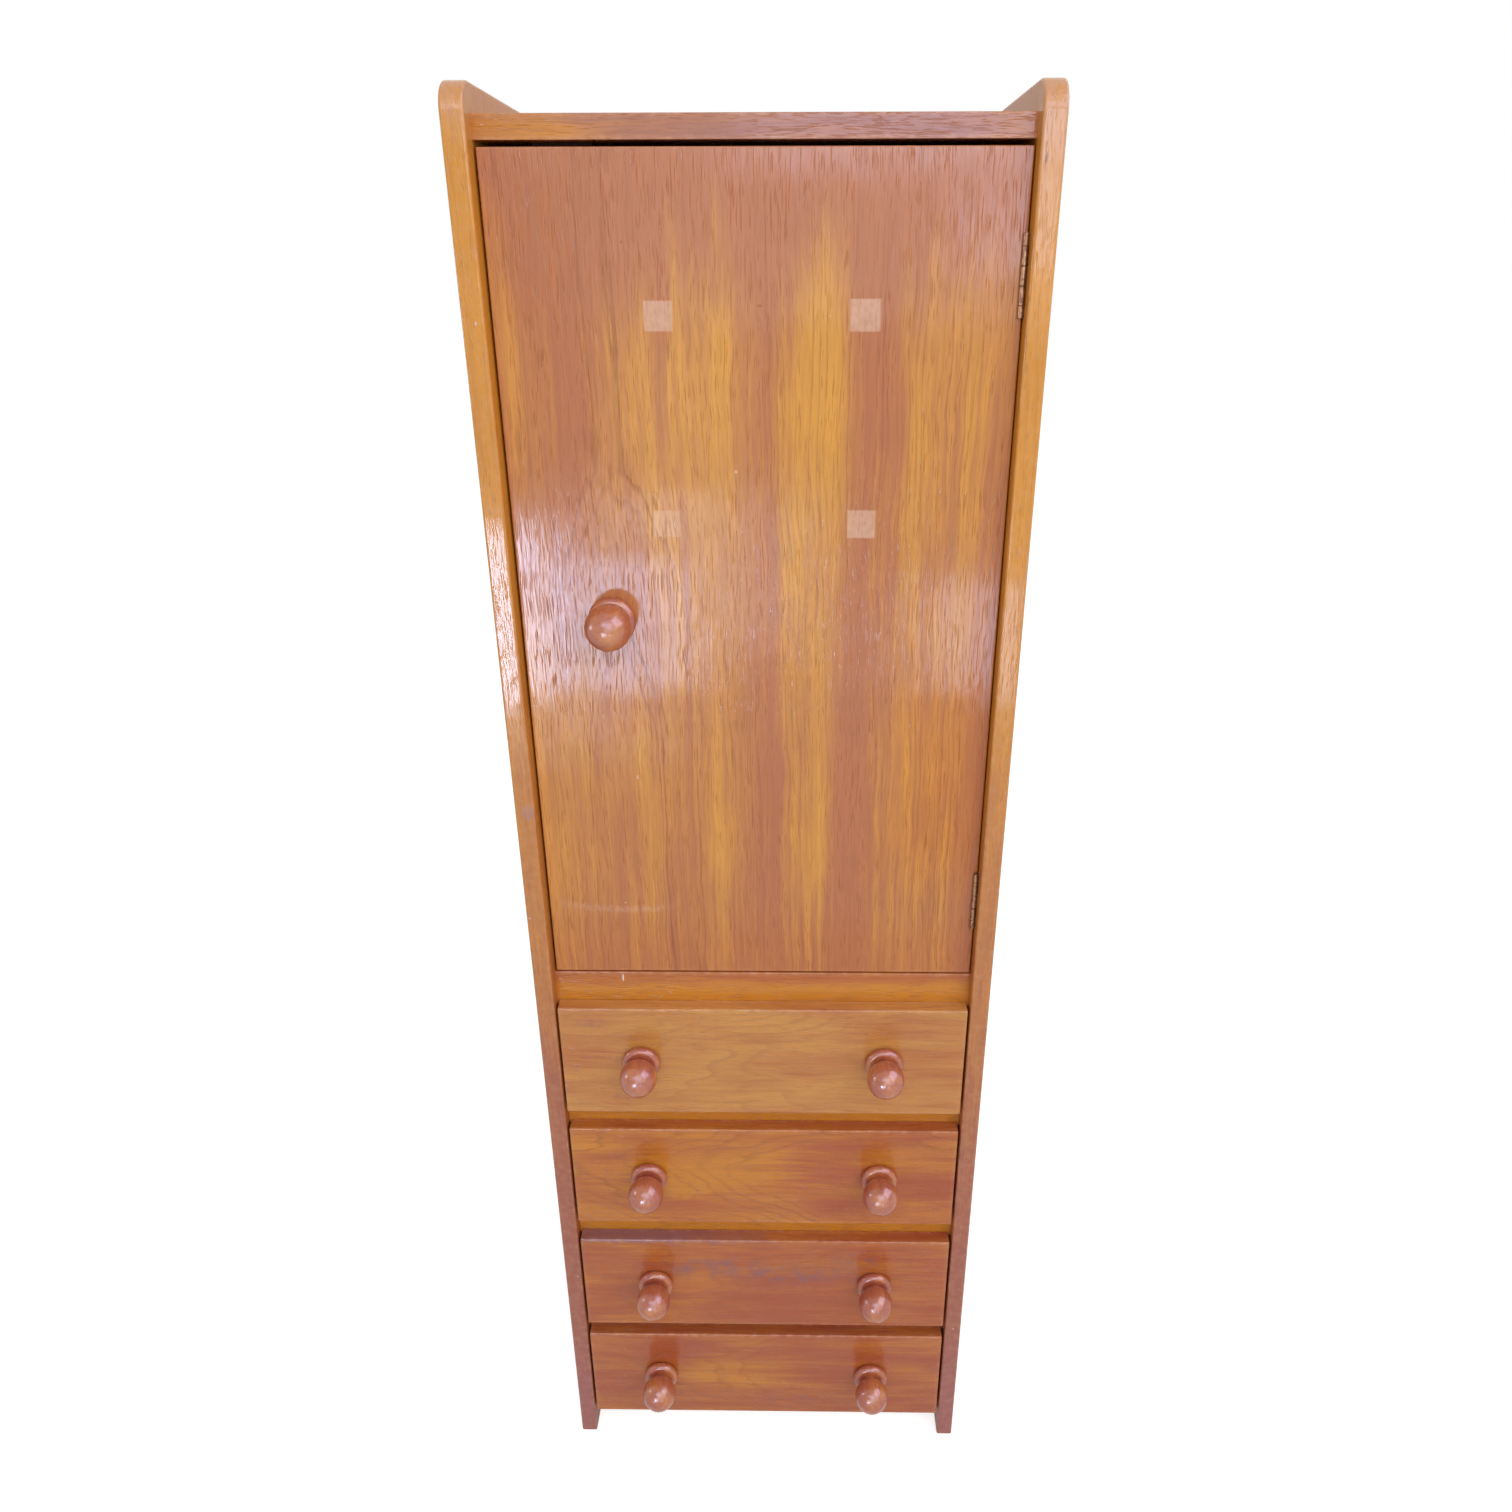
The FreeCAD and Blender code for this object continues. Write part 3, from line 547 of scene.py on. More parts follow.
    def square(self, x, z, half, strength):
        """A square mark on a front with crisp sides, from its middle and half size."""
        low, high = half - 0.0012, half + 0.0008
        a = self.fade(self.off(self.across, x), low, high, strength, 0.0)
        b = self.fade(self.off(self.up, z), low, high, 1.0, 0.0)
        return self.kept_to_front(self.times(a, b))

    def lacquered(self, coat_roughness, grain_depth=0.00009, gloss=1.0, ripple=1.4,
                  coat_ior=1.42):
        """Rubs the edges pale in chips and ends the finish under clear lacquer, which sinks into
        the open grain, rides over the streaks in ripples, and lies in long shallow waves."""
        chips = self.noise(self.place(), (90.0, 90.0, 90.0), 3.0, 0.65)
        rub = self.times(self.attribute("edge", "Fac"), self.fade(chips, 0.4, 0.72, 0.15, 1.0))
        self.lay(self.times(rub, self.look["wear"]), self.look["worn"])
        waves = self.noise(self.place(), (26.0, 26.0, 14.0), 1.0)
        coat = self.heap(self.height, (waves, 6.0), (self.streak, ripple), (self.fine, ripple),
                         (self.pore, -4.5 * ripple))
        return self.surface(
            Base_Color=self.shade, Roughness=0.55, Specular_IOR_Level=0.04,
            Normal=self.bump(self.height, grain_depth),
            Coat_Weight=gloss, Coat_Roughness=coat_roughness, Coat_IOR=coat_ior,
            Coat_Normal=self.bump(coat, grain_depth * 0.7))


def door_timber():
    """The door: upright figure with arches round the knob, golden and rosy bands, and the pale
    squares, nicks and scuff that past use has left."""
    tint = colours()
    finish = Timber(
        "door_timber", gold=tint.gold, rose=tint.rose, worn=(0.7, 0.36, 0.16), tone=0.42,
        patchy=0.36, flame=0.8, ragged=0.36, wander=0.014, swirl=3.0, lines=0.78,
        pith=(-0.14, 0.0, 0.077, 0.004, 1.0, 1.33, 0.0062), lined=(0.045, 0.105, 1.0, 0.42),
        streaks=0.24, fines=0.3, shimmer=0.08, stripes=0.55, soft=0.125, wear=0.25,
        # Darker pores over the mirrored pane patch round the knob: painted reflection on real
        # pores.
        pore=(740.0, 740.0, 38.0), pores=0.42, coarse=(-0.165, 0.075, 1.1, 1.27, 0.42),
        bands=(
            (-0.232, 0.012, 1.34, 1.58, 0.16), (-0.12, 0.034, 1.36, 1.49, 0.22),
            (-0.073, 0.007, 1.33, 1.54, 0.34), (-0.045, 0.03, 1.32, 1.5, 0.18),
            (-0.03, 0.009, 1.34, 1.56, 0.26), (0.058, 0.022, 1.37, 1.53, 0.33),
            (0.052, 0.036, 1.22, 1.46, 0.2), (0.19, 0.01, 1.38, 1.49, 0.26),
            (0.165, 0.045, 1.2, 1.5, 0.1), (0.178, 0.046, 0.9, 1.125, 0.08),
            (0.057, 0.018, 0.84, 1.04, 0.3), (-0.047, 0.005, 0.89, 1.02, 0.22),
            (-0.18, 0.03, 1.33, 1.62, -0.24), (0.0, 0.6, 1.54, 1.9, -0.58),
            (-0.065, 0.026, 1.16, 1.31, 0.2), (-0.115, 0.045, 1.49, 1.62, -0.24),
            (-0.232, 0.024, 0.74, 1.12, 0.22), (0.15, 0.02, 1.08, 1.24, -0.14),
            (-0.19, 0.045, 1.16, 1.34, -0.3), (-0.125, 0.02, 1.12, 1.26, -0.18),
            (0.01, 0.022, 1.47, 1.9, -0.24), (0.003, 0.018, 0.79, 1.34, -0.22),
            (0.112, 0.025, 1.1, 1.58, -0.3), (0.098, 0.02, 0.4, 1.14, -0.35),
            (0.0, 0.6, 0.3, 0.82, -0.24), (0.238, 0.022, 0.4, 1.3, -0.3)))
    across, up = finish.across, finish.up
    squares = ((-0.0876, 1.4675, 0.013, 0.62), (0.0985, 1.468, 0.0138, 0.64),
               (0.0995, 1.2805, 0.0135, 0.66), (-0.0875, 1.2807, 0.0128, 0.36))
    nicks = ((-0.13, 1.011, 0.001, 0.0026, 0.9), (-0.02, 1.33, 0.0016, 0.0014, 0.8),
             (-0.152, 0.856, 0.0012, 0.001, 0.7))
    specks = ((0.004, 1.476, 0.0022, 0.0012, 0.6), (-0.117, 1.528, 0.0012, 0.0012, 0.6))
    mottle = finish.noise(finish.place(), (210.0, 210.0, 120.0), 3.0, 0.6)
    pale = finish.chain("MAXIMUM", *(finish.square(*mark) for mark in squares),
                        *(finish.spot(*mark) for mark in nicks))
    finish.lay(finish.times(pale, finish.fade(mottle, 0.3, 0.62, 0.66, 1.0)),
               finish.lit(tint.pale, finish.swing(finish.fine, 0.2)))
    finish.lay(finish.chain("MAXIMUM", *(finish.spot(*mark) for mark in specks)), tint.umber)
    from_left = finish.math("ADD", across, 0.15)
    bow = finish.heap(0.848, (finish.times(from_left, from_left), 1.1))
    scuff = finish.times(finish.fade(finish.off(up, bow), 0.001, 0.007, 0.26, 0.0),
                         finish.fade(across, -0.235, -0.2),
                         finish.fade(across, -0.13, -0.085, 1.0, 0.0),
                         finish.fade(mottle, 0.38, 0.62, 0.15, 1.0))
    finish.lay(finish.kept_to_front(scuff), tint.pale)
    # Painted shade: the lower right of the door and a band along its bottom are deepened and made
    # less blue, for the weaker reflected light there.
    painted_lower_shade = finish.times(finish.fade(across, 0.1, 0.19), finish.fade(up, 1.09, 1.16, 1.0, 0.0),
                         finish.fade(up, 0.84, 0.95))
    painted_lower_shade = finish.math("MAXIMUM", painted_lower_shade, finish.fade(up, 0.79, 0.86, 0.5, 0.0))
    finish.lay(painted_lower_shade, finish.scaled(finish.shade, (1.0, 0.9, 0.58)))
    return finish.lacquered(0.085)


def side_timber(name, seed, chalk, marks=(), foot=0.6, rose=None, ripple=0.8, **lacquer):
    """A side: upright golden timber that reddens and darkens towards the foot, with a pale bloom at
    the top that is partly chalky lacquer and partly a painted sheen of reflected light on the
    nose, and small marks on the front."""
    tint = colours()
    finish = Timber(
        name, gold=tint.side_gold, rose=rose or tint.side_red, worn=(0.74, 0.42, 0.22), tone=0.5,
        patchy=0.35, ragged=0.35, seed=seed, ramp=(0.05, 1.6, -0.5, 0.45), lines=0.18,
        pith=(0.03, 0.01, 0.08, 0.05, 0.2, 1.6, 0.006), streaks=0.18, fines=0.22)
    bloom_and_sheen_tint, dark_foot = (0.6, 0.35, 0.3), (0.33, 0.095, 0.105)
    # Partly chalky lacquer and partly painted sheen: the top of the side is paled where the nose
    # mirrors the light above.
    finish.lay(finish.times(finish.fade(finish.up, *chalk),
                            finish.fade(finish.streak, 0.35, 0.65, 0.5, 1.0)), bloom_and_sheen_tint)
    finish.lay(finish.fade(finish.up, 0.05, 0.25, foot, 0.0), dark_foot)
    for *mark, tone in marks:
        finish.lay(finish.spot(*mark), tone)
    return finish.lacquered(0.075, ripple=ripple, **lacquer)


def rail_timber(name, seed, tone, middle, rose, bands=(), nicks=()):
    """A rail or the top board: level grain, golden or red; middle is its height."""
    finish = Timber(
        name, gold=colours().drawer_gold, rose=rose, worn=(0.74, 0.4, 0.24), tone=tone,
        patchy=0.6, seed=seed, lines=0.24, soft=0.04, bands=bands,
        pith=(middle - 0.015, 0.03, 0.04, 0.01, -0.15, 0.25, 0.005))
    bare = (0.86, 0.74, 0.66)
    for nick in nicks:
        finish.lay(finish.spot(*nick, 0.9), bare)
    return finish.lacquered(0.1)


def drawer_timber(name, gold, seed, tone, pith, lines, bands=(), stains=(), films=()):
    """A drawer front: level grain with its own figure, and stains and a grey film where it has
    them."""
    tint = colours()
    finish = Timber(
        name, gold=gold, rose=tint.drawer_red, worn=(0.74, 0.38, 0.22), tone=tone, patchy=0.9,
        flame=0.7, seed=seed, broad=(26.0, 26.0, 7.0), wander=0.03, swirl=4.0, jag=0.5,
        pith=pith, lines=lines, soft=0.04, bands=bands)
    clouds = finish.noise(finish.place(), (55.0, 55.0, 75.0), 3.0, 0.6)
    for stain in stains:
        finish.lay(finish.times(finish.spot(*stain, 0.6), finish.fade(clouds, 0.36, 0.72)),
                   tint.stain)
    grey = (0.29, 0.125, 0.14)
    for film in films:
        finish.lay(finish.times(finish.spot(*film, 0.5),
                                finish.fade(finish.streak, 0.3, 0.6, 0.7, 1.0)), grey)
    return finish.lacquered(0.1)


def knob_timber():
    """Turned knobs: red-brown timber with its grain along the knob, so that lines run out from
    the middle of the ball, under thick lacquer."""
    finish = Timber(
        "turned_timber", gold=(0.62, 0.225, 0.06), rose=colours().knob, worn=(0.62, 0.3, 0.14),
        tone=0.34, patchy=1.5, ragged=0.7, broad=(42.0, 42.0, 24.0), lines=0.22, streaks=0.2,
        pith=(0.05, 0.2, 0.08, 0.04, -0.01, 0.06, 0.003), fines=0.16, pores=0.3, wear=0.25)
    return finish.lacquered(0.16, grain_depth=0.00003, ripple=0.5, coat_ior=1.66)


def board(name, base, axis, sheen=0.42, seed=0.0, contrast=0.3):
    """Plain sealed board inside the case, from Object coordinates: grain along the given axis."""
    finish = Finish(name)
    place = finish.shifted(finish.place(), (seed, seed * 0.7, seed * 1.3))

    def drawn_out(wide, long):
        return [long if k == axis else wide for k in range(3)]

    streak = finish.noise(place, drawn_out(60.0, 2.5), 3.0, 0.6, 0.3)
    fine = finish.noise(place, drawn_out(520.0, 14.0))
    shade = finish.mix(finish.fade(streak, 0.25, 0.75), [c * (1 - contrast) for c in base], base)
    return finish.surface(Base_Color=finish.lit(shade, finish.swing(fine, 0.3)),
                          Roughness=finish.heap(sheen, (fine, 0.15)), Specular_IOR_Level=0.35,
                          Normal=finish.bump(fine, 0.00012))


def brass():
    """Brass under a brown film, bright only where it is rubbed."""
    tint = colours()
    finish = Finish("aged_brass")
    place = finish.place()
    film = finish.noise(place, (420.0, 420.0, 260.0), 3.0, 0.65)
    specks = finish.noise(place, (1600.0, 1600.0, 1600.0), 1.0)
    shade = finish.mix(finish.fade(film, 0.36, 0.66), tint.brass, tint.tarnish)
    shade = finish.mix(finish.fade(specks, 0.66, 0.78, 0.0, 0.6), shade, tint.tarnish)
    return finish.surface(Base_Color=shade, Metallic=0.85,
                          Roughness=finish.heap(0.22, (film, 0.3)),
                          Normal=finish.bump(film, 0.00004))


def steel(name, rough, brushed, level=1.0):
    """Steel, polished or dull, with fine scratches."""
    finish = Finish(name)
    scratch = finish.noise(finish.place(), (90.0, 900.0, 900.0))
    shade = finish.lit([c * level for c in colours().steel], finish.swing(scratch, 0.25))
    return finish.surface(Base_Color=shade, Metallic=1.0,
                          Roughness=finish.heap(rough, (scratch, brushed)),
                          Normal=finish.bump(scratch, 0.00002))


def catch_plastic():
    """Moulded brown plastic with a fine matt skin."""
    finish = Finish("catch_plastic")
    skin = finish.noise(finish.place(), (2200.0, 2200.0, 2200.0), 1.0)
    shade = finish.lit(colours().catch, finish.swing(skin, 0.2))
    return finish.surface(Base_Color=shade, Roughness=0.75, Specular_IOR_Level=0.1,
                          Normal=finish.bump(skin, 0.00003))


def dress(finish, *nodes):
    """Gives CAD nodes their finish."""
    for node in nodes:
        mesh = frame["nodes"][node].data
        mesh.materials.clear()
        mesh.materials.append(finish)


# ---- Board coordinates -------------------------------------------------------------------------
def upright(points):
    """Grain upright: across is X, depth is Y and along is Z."""
    return points


def upright_side(points):
    """Grain upright on a side: across is Y, depth is X and along is Z."""
    return points[:, [1, 0, 2]]


def level(points):
    """Grain level: across is Z, depth is Y and along is X."""
    return points[:, [2, 1, 0]]


def near_edge(low, high, band):
    """1 at the edges of a box and 0 a band inside them, as a function of points. A point's
    distance to an edge is the second smallest of its distances to the box's faces."""
    low, high = np.array(low), np.array(high)

    def worn_share(points):
        gaps = np.sort(np.minimum(points - low, high - points), axis=1)
        return np.clip(1.0 - gaps[:, 1] / band, 0.0, 1.0)

    return worn_share


# ---- Operators ---------------------------------------------------------------------------------
def eased_piece(node, finish, body, grain, front, cell=0.06):
    """A board that takes the place of a CAD node, with its front edges eased by this radius."""
    low, high = span(node)
    size = sizes()
    sheets = eased_block(low, high, front, size.raw_edge, size.worn_band, cell,
                         size.rounding_steps)
    return piece(node + "_surface", sheets, finish, body, (node,), grain,
                 near_edge(low, high, size.worn_band))


def side_sheets(node):
    """Three sheets of a side: both faces and the rim, with the rebate for the back panel.

    The outline is walked in the plane of Y and Z. At each step a point lies on a corner circle:
    its centre plus the circle's radius outward, where a straight run is a circle that slides. The
    rim is a quarter round from each face to the rim's middle. Along the rear edge the inner
    quarter round becomes the two steps of the rebate.
    """
    size = sizes()
    low, high = span(node)
    inner_sign = 1.0 if low[0] < 0 else -1.0
    inner_x, outer_x = (high[0], low[0]) if low[0] < 0 else (low[0], high[0])
    back_low, back_high = span("back_panel")
    rebate_wide = abs(back_high[0]) - abs(inner_x)
    edge, raw, nose = size.side_edge, size.raw_edge, size.nose
    front, rear, base, top = low[1], high[1], low[2], high[2]

    def corner(y, z, radius, start, end, steps):
        """Rows of centre, outward direction and radius round a corner, in even angles."""
        turn = np.radians(np.linspace(start, end, steps + 1))[:, None]
        return np.hstack([0 * turn + y, 0 * turn + z, np.cos(turn), np.sin(turn),
                          0 * turn + radius])

    def run(start, end, facing, radius, count):
        """The same rows along a straight run, where only the centre moves."""
        along = np.linspace(0.0, 1.0, count + 1)[:, None]
        places = np.array(start) * (1 - along) + np.array(end) * along
        return np.hstack([places - np.array(facing) * radius, 0 * places + facing,
                          0 * along + radius])

    steps = size.rounding_steps
    change = 0.01  # length over which the eased edge becomes a plain one, near the back
    rebate_run = 7  # the run below that passes the back panel
    before, behind, above, below = (-1.0, 0.0), (1.0, 0.0), (0.0, 1.0), (0.0, -1.0)
    parts = [
        corner(front + edge, base + edge, edge, -90, -180, steps),
        run((front, base + edge), (front, top - nose), before, edge, 24),
        corner(front + nose, top - nose, nose, 180, 90, 4 * steps),
        run((front + nose, top), (rear - 2 * change, top), above, edge, 6),
        run((rear - change, top), (rear - raw, top), above, raw, 1),
        corner(rear - raw, top - raw, raw, 90, 0, 2),
        run((rear, top - raw), (rear, back_high[2]), behind, raw, 1),
        run((rear, back_high[2]), (rear, back_low[2]), behind, raw, 24),
        run((rear, back_low[2]), (rear, base + raw), behind, raw, 1),
        corner(rear - raw, base + raw, raw, 0, -90, 2),
        run((rear - raw, base), (rear - change, base), below, raw, 1),
        run((rear - 2 * change, base), (front + edge, base), below, edge, 6),
    ]
    notched = np.concatenate([np.full(len(p), k == rebate_run) for k, p in enumerate(parts)])
    walk = np.concatenate([*parts, parts[0][:1]])
    notched = np.append(notched, notched[0])[:, None]
    centre, facing, radius = walk[:, :2], walk[:, 2:4], walk[:, 4]
    ease = np.minimum(radius, edge)

    bend = np.linspace(0.0, math.pi / 2, steps + 1)
    inward = ease[:, None] * (1 - np.sin(bend))
    depth = ease[:, None] * (1 - np.cos(bend))
    step_in = np.where(np.arange(steps + 1) < steps, rear - back_low[1], 0.0)
    step_deep = np.where(np.arange(steps + 1) > 0, rebate_wide, 0.0)
    inner_inward = np.where(notched, step_in, inward)
    inner_depth = np.where(notched, step_deep, depth)

    def lay(inward_by, x):
        """Points on the outline's circles, drawn in from them by so much, at these X."""
        flat = centre[:, None] + facing[:, None] * (radius[:, None] - inward_by)[..., None]
        return np.concatenate([(x + 0 * inward_by)[..., None], flat], axis=-1)

    inner_rim = lay(inner_inward, inner_x - inner_sign * inner_depth)
    outer_rim = lay(inward, outer_x + inner_sign * depth)[:, ::-1]
    rim = np.concatenate([inner_rim, outer_rim], axis=1)

    def face(border, x):
        """A flat sheet whose points lie some share of the way from the border to a line up the
        middle of the side."""
        spine_end = 0.15
        spine = np.stack([np.full(len(border), x), np.full(len(border), (front + rear) / 2),
                          np.clip(border[:, 2], base + spine_end, top - spine_end)], axis=1)
        share_in = np.array([0.0, 0.02, 0.1, 0.4, 1.0])[None, :, None]
        return border[:, None] * (1 - share_in) + spine[:, None] * share_in

    return [face(rim[:, 0], inner_x)[:, ::-1], rim, face(rim[:, -1], outer_x)]


class CHIFFOROBE_OT_sides(bpy.types.Operator):
    """Builds the two full-height sides with their eased edges"""

    bl_idname = "chifforobe.sides"
    bl_label = "Sides"

    def execute(self, context):
        chip, bruise = (0.74, 0.52, 0.44), (0.36, 0.22, 0.23)
        # Heights of the pale bloom at the top of each side: partly chalky lacquer, partly painted
        # sheen of reflected light.
        chalk = {"side_left": (1.59, 1.648, 0.0, 0.38), "side_right": (1.5, 1.63, 0.0, 0.42)}
        marks = {
            "side_left": ((-0.246, 0.977, 0.007, 0.0085, 0.42, bruise),
                          (-0.247, 1.462, 0.0012, 0.0016, 0.8, chip),
                          (-0.256, 0.846, 0.0016, 0.0009, 0.6, chip),
                          (-0.244, 0.3, 0.001, 0.0014, 0.7, chip)),
            "side_right": ((0.2446, 1.591, 0.001, 0.0042, 0.85, (0.2, 0.08, 0.06)),
                           (0.25, 0.21, 0.0014, 0.0012, 0.6, chip))}
        for node, seed in (("side_left", (0.3, 0.0, 0.2)), ("side_right", (1.7, 0.4, 3.1))):
            low, high = span(node)
            made = piece(node + "_surface", side_sheets(node),
                         side_timber(node + "_timber", seed, chalk[node], marks[node]), "case",
                         (node,), upright_side,
                         near_edge(low, high, sizes().worn_band))
            mesh = made.data
            plain = {"seed": seed, "chalk": chalk["side_left"], "foot": 0.0,
                     "rose": (0.42, 0.13, 0.052)}
            mesh.materials.append(side_timber(node + "_inner_timber", gloss=0.4, **plain))
            mesh.materials.append(side_timber(node + "_outer_timber", gloss=0.7, ripple=0.15,
                                              grain_depth=0.00002, **plain))
            facing = np.zeros(3 * len(mesh.polygons))
            mesh.polygons.foreach_get("normal", facing)
            inward = -np.sign(low[0]) * facing[0::3]
            index = np.where(inward > 0.9, 1, np.where(inward < -0.9, 2, 0))
            mesh.polygons.foreach_set("material_index", index.astype(np.int32))
        return {"FINISHED"}


class CHIFFOROBE_OT_boards(bpy.types.Operator):
    """Builds the top board and the rails, and finishes the boards and panels inside the case"""

    bl_idname = "chifforobe.boards"
    bl_label = "Boards and rails"

    def execute(self, context):
        size, tint = sizes(), colours()
        red = tint.drawer_red
        ends = ((1.617, 0.06, -0.4, -0.15, 0.45), (1.617, 0.06, 0.2, 0.4, 0.25))
        boards = (("top_board", (0.9, 0.2, 0.4), 0.3, tint.dusky, ends),
                  ("mid_rail", (2.3, 0.1, 0.8), 0.75, red,
                   ((0.76, 0.012, -0.4, 0.4, -0.3), (0.735, 0.009, -0.4, 0.4, 0.3)),
                   ((-0.1606, 0.7556, 0.0009, 0.0046),)),
                  ("drawer_rail_1", (3.9, 0.5, 1.9), 1.05, red),
                  ("drawer_rail_2", (5.1, 0.9, 2.7), 0.9, red),
                  ("drawer_rail_3", (6.4, 1.3, 3.3), 0.05, (0.27, 0.07, 0.06)))
        for node, seed, tone, rose, *more in boards:
            low, high = span(node)
            finish = rail_timber(node + "_timber", seed, tone, (low[2] + high[2]) / 2, rose,
                                 *more)
            ease = size.top_edge if node == "top_board" else size.rail_edge
            eased_piece(node, finish, "case", level, ease)
        dress(board("cupboard_floor_board", tint.inner, 0), "cupboard_floor")
        dress(board("bottom_board_board", tint.inner, 0, seed=0.8), "bottom_board")
        dress(board("back_panel_board", tint.panel, 2, 0.35, 0.2, 0.18), "back_panel")
        return {"FINISHED"}


class CHIFFOROBE_OT_door(bpy.types.Operator):
    """Builds the door"""

    bl_idname = "chifforobe.door"
    bl_label = "Door"

    def execute(self, context):
        front = span("door")[0][1]

        def grain(points):
            return points - np.array([0.0, front, 0.0])

        eased_piece("door", door_timber(), "door", grain, sizes().door_edge, 0.05)
        return {"FINISHED"}


class CHIFFOROBE_OT_drawer_fronts(bpy.types.Operator):
    """Builds the four drawer fronts, each with its own figure"""

    bl_idname = "chifforobe.drawer_fronts"
    bl_label = "Drawer fronts"

    def execute(self, context):
        tint = colours()
        looks = {
            1: ((0.0, 0.0, 0.0), 0.74, (0.635, 0.06, 0.05, 0.02, -0.18, 0.16, 0.006), 0.26,
                ((0.648, 0.06, -0.3, -0.17, -0.2), (0.648, 0.06, 0.17, 0.3, -0.15)),
                ((-0.195, 0.705, 0.016, 0.006, 0.6),)),
            2: ((0.0, 0.4, 0.9), 0.48, (0.478, -0.1, 0.052, 0.004, -0.22, 0.07, 0.0058), 0.4,
                ((0.475, 0.034, -0.15, 0.02, 0.42), (0.47, 0.09, 0.06, 0.3, -0.15)), ()),
            3: ((0.0, 0.9, 2.2), 0.3, (0.27, 0.04, 0.06, 0.02, -0.2, 0.25, 0.006), 0.2, (),
                ((-0.065, 0.318, 0.075, 0.016, 0.75), (0.045, 0.305, 0.075, 0.014, 0.75),
                 (0.115, 0.33, 0.03, 0.016, 0.6), (-0.12, 0.362, 0.11, 0.0045, 0.8)),
                ((-0.175, 0.3651, 0.08, 0.0036, 0.95), (-0.06, 0.3651, 0.06, 0.003, 0.45))),
            4: ((0.0, 1.5, 3.7), 0.28, (0.125, 0.03, 0.05, 0.005, -0.15, 0.2, 0.0065), 0.26,
                ((0.12, 0.022, -0.11, 0.03, 0.25),), ((0.05, 0.07, 0.09, 0.014, 0.3),)),
        }
        for number, (seed, *figure) in looks.items():
            node = "drawer_%d_front" % number
            gold = tint.tan if number == 1 else tint.drawer_gold
            finish = drawer_timber(node + "_timber", gold, seed, *figure)
            eased_piece(node, finish, "drawer_%d" % number, level,
                        sizes().drawer_edge)
        return {"FINISHED"}


class CHIFFOROBE_OT_drawer_boxes(bpy.types.Operator):
    """Finishes the drawer boxes and their runners"""

    bl_idname = "chifforobe.drawer_boxes"
    bl_label = "Drawer boxes and runners"

    def execute(self, context):
        tint = colours()
        long_board = board("drawer_side_board", tint.box, 1)
        back_board = board("drawer_back_board", tint.box, 0, seed=0.4)
        bottom = board("drawer_bottom_panel", tint.panel, 0, 0.4, 0.6, 0.18)
        runner = board("runner_strip", tint.runner, 1, 0.48, 0.9)
        for number in range(1, 5):
            box = "drawer_%d_" % number
            dress(long_board, box + "side_left", box + "side_right")
            dress(back_board, box + "back")
            dress(bottom, box + "bottom")
            dress(runner, "drawer_runners_%d" % number)
        return {"FINISHED"}


def knob_profile(reach, ball, collar, thick, neck):
    """Profile of a knob as (radius, distance forward): a collar with a full round rim, a cove down
    to the neck, and a ball that the neck flares into."""
    rim = thick / 2
    centre = reach - ball
    points = [(0.0, 0.0), (collar - rim, 0.0)]
    points += arc((collar - rim, rim), rim, -90, 90, 16)[1:]
    join = math.asin(neck / ball)
    gap = centre - ball * math.cos(join) - thick
    points += [(neck + 1.2 * gap, thick), (neck + 0.5 * gap, thick + 0.12 * gap)]
    points += [(neck + 0.12 * gap, thick + 0.4 * gap)]
    points += arc((0.0, centre), ball, math.degrees(join) - 90, 90, 36)
    points[-1] = (0.0, reach)
    return points


class CHIFFOROBE_OT_knobs(bpy.types.Operator):
    """Turns the door knob and the eight drawer knobs"""

    bl_idname = "chifforobe.knobs"
    bl_label = "Knobs"

    def turn(self, name, node, end, body, ball, neck, finish):
        """One turned knob standing on its front, at the left or the right end of its node."""
        size = sizes()
        low, high = span(node)
        reach, collar = high[1] - low[1], (high[2] - low[2]) / 2
        x = low[0] + collar if end == "left" else high[0] - collar
        centre = np.array([x, high[1], (low[2] + high[2]) / 2])
        profile = knob_profile(reach, ball, collar, size.collar, neck)

        def grain(points):
            apart = np.array([centre[0], centre[2], 0.0]) * 7.0
            return (points - centre)[:, [0, 2, 1]] + apart

        def rub(points):
            forward = centre[1] - points[:, 1]
            return np.clip((forward - reach) / size.worn_band + 1.0, 0.0, 1.0)

        piece(name, [turned(profile, centre, size.turning_steps)], finish, body,
              (node,), grain, rub)

    def execute(self, context):
        size, finish = sizes(), knob_timber()
        self.turn("door_knob_turning", "door_knob", "left", "door", size.door_ball,
                  size.door_neck, finish)
        for number in range(1, 5):
            for end in ("left", "right"):
                self.turn("drawer_%d_knob_%s" % (number, end), "drawer_%d_knobs" % number, end,
                          "drawer_%d" % number, size.drawer_ball, size.drawer_neck, finish)
        return {"FINISHED"}


def knuckles(base, top):
    """Heights of the five knuckles of a hinge, lowest first; the end ones are shorter."""
    end = sizes().end_knuckle
    marks = [base, *np.linspace(base + end, top - end, 4), top]
    return list(zip(marks[:-1], marks[1:]))


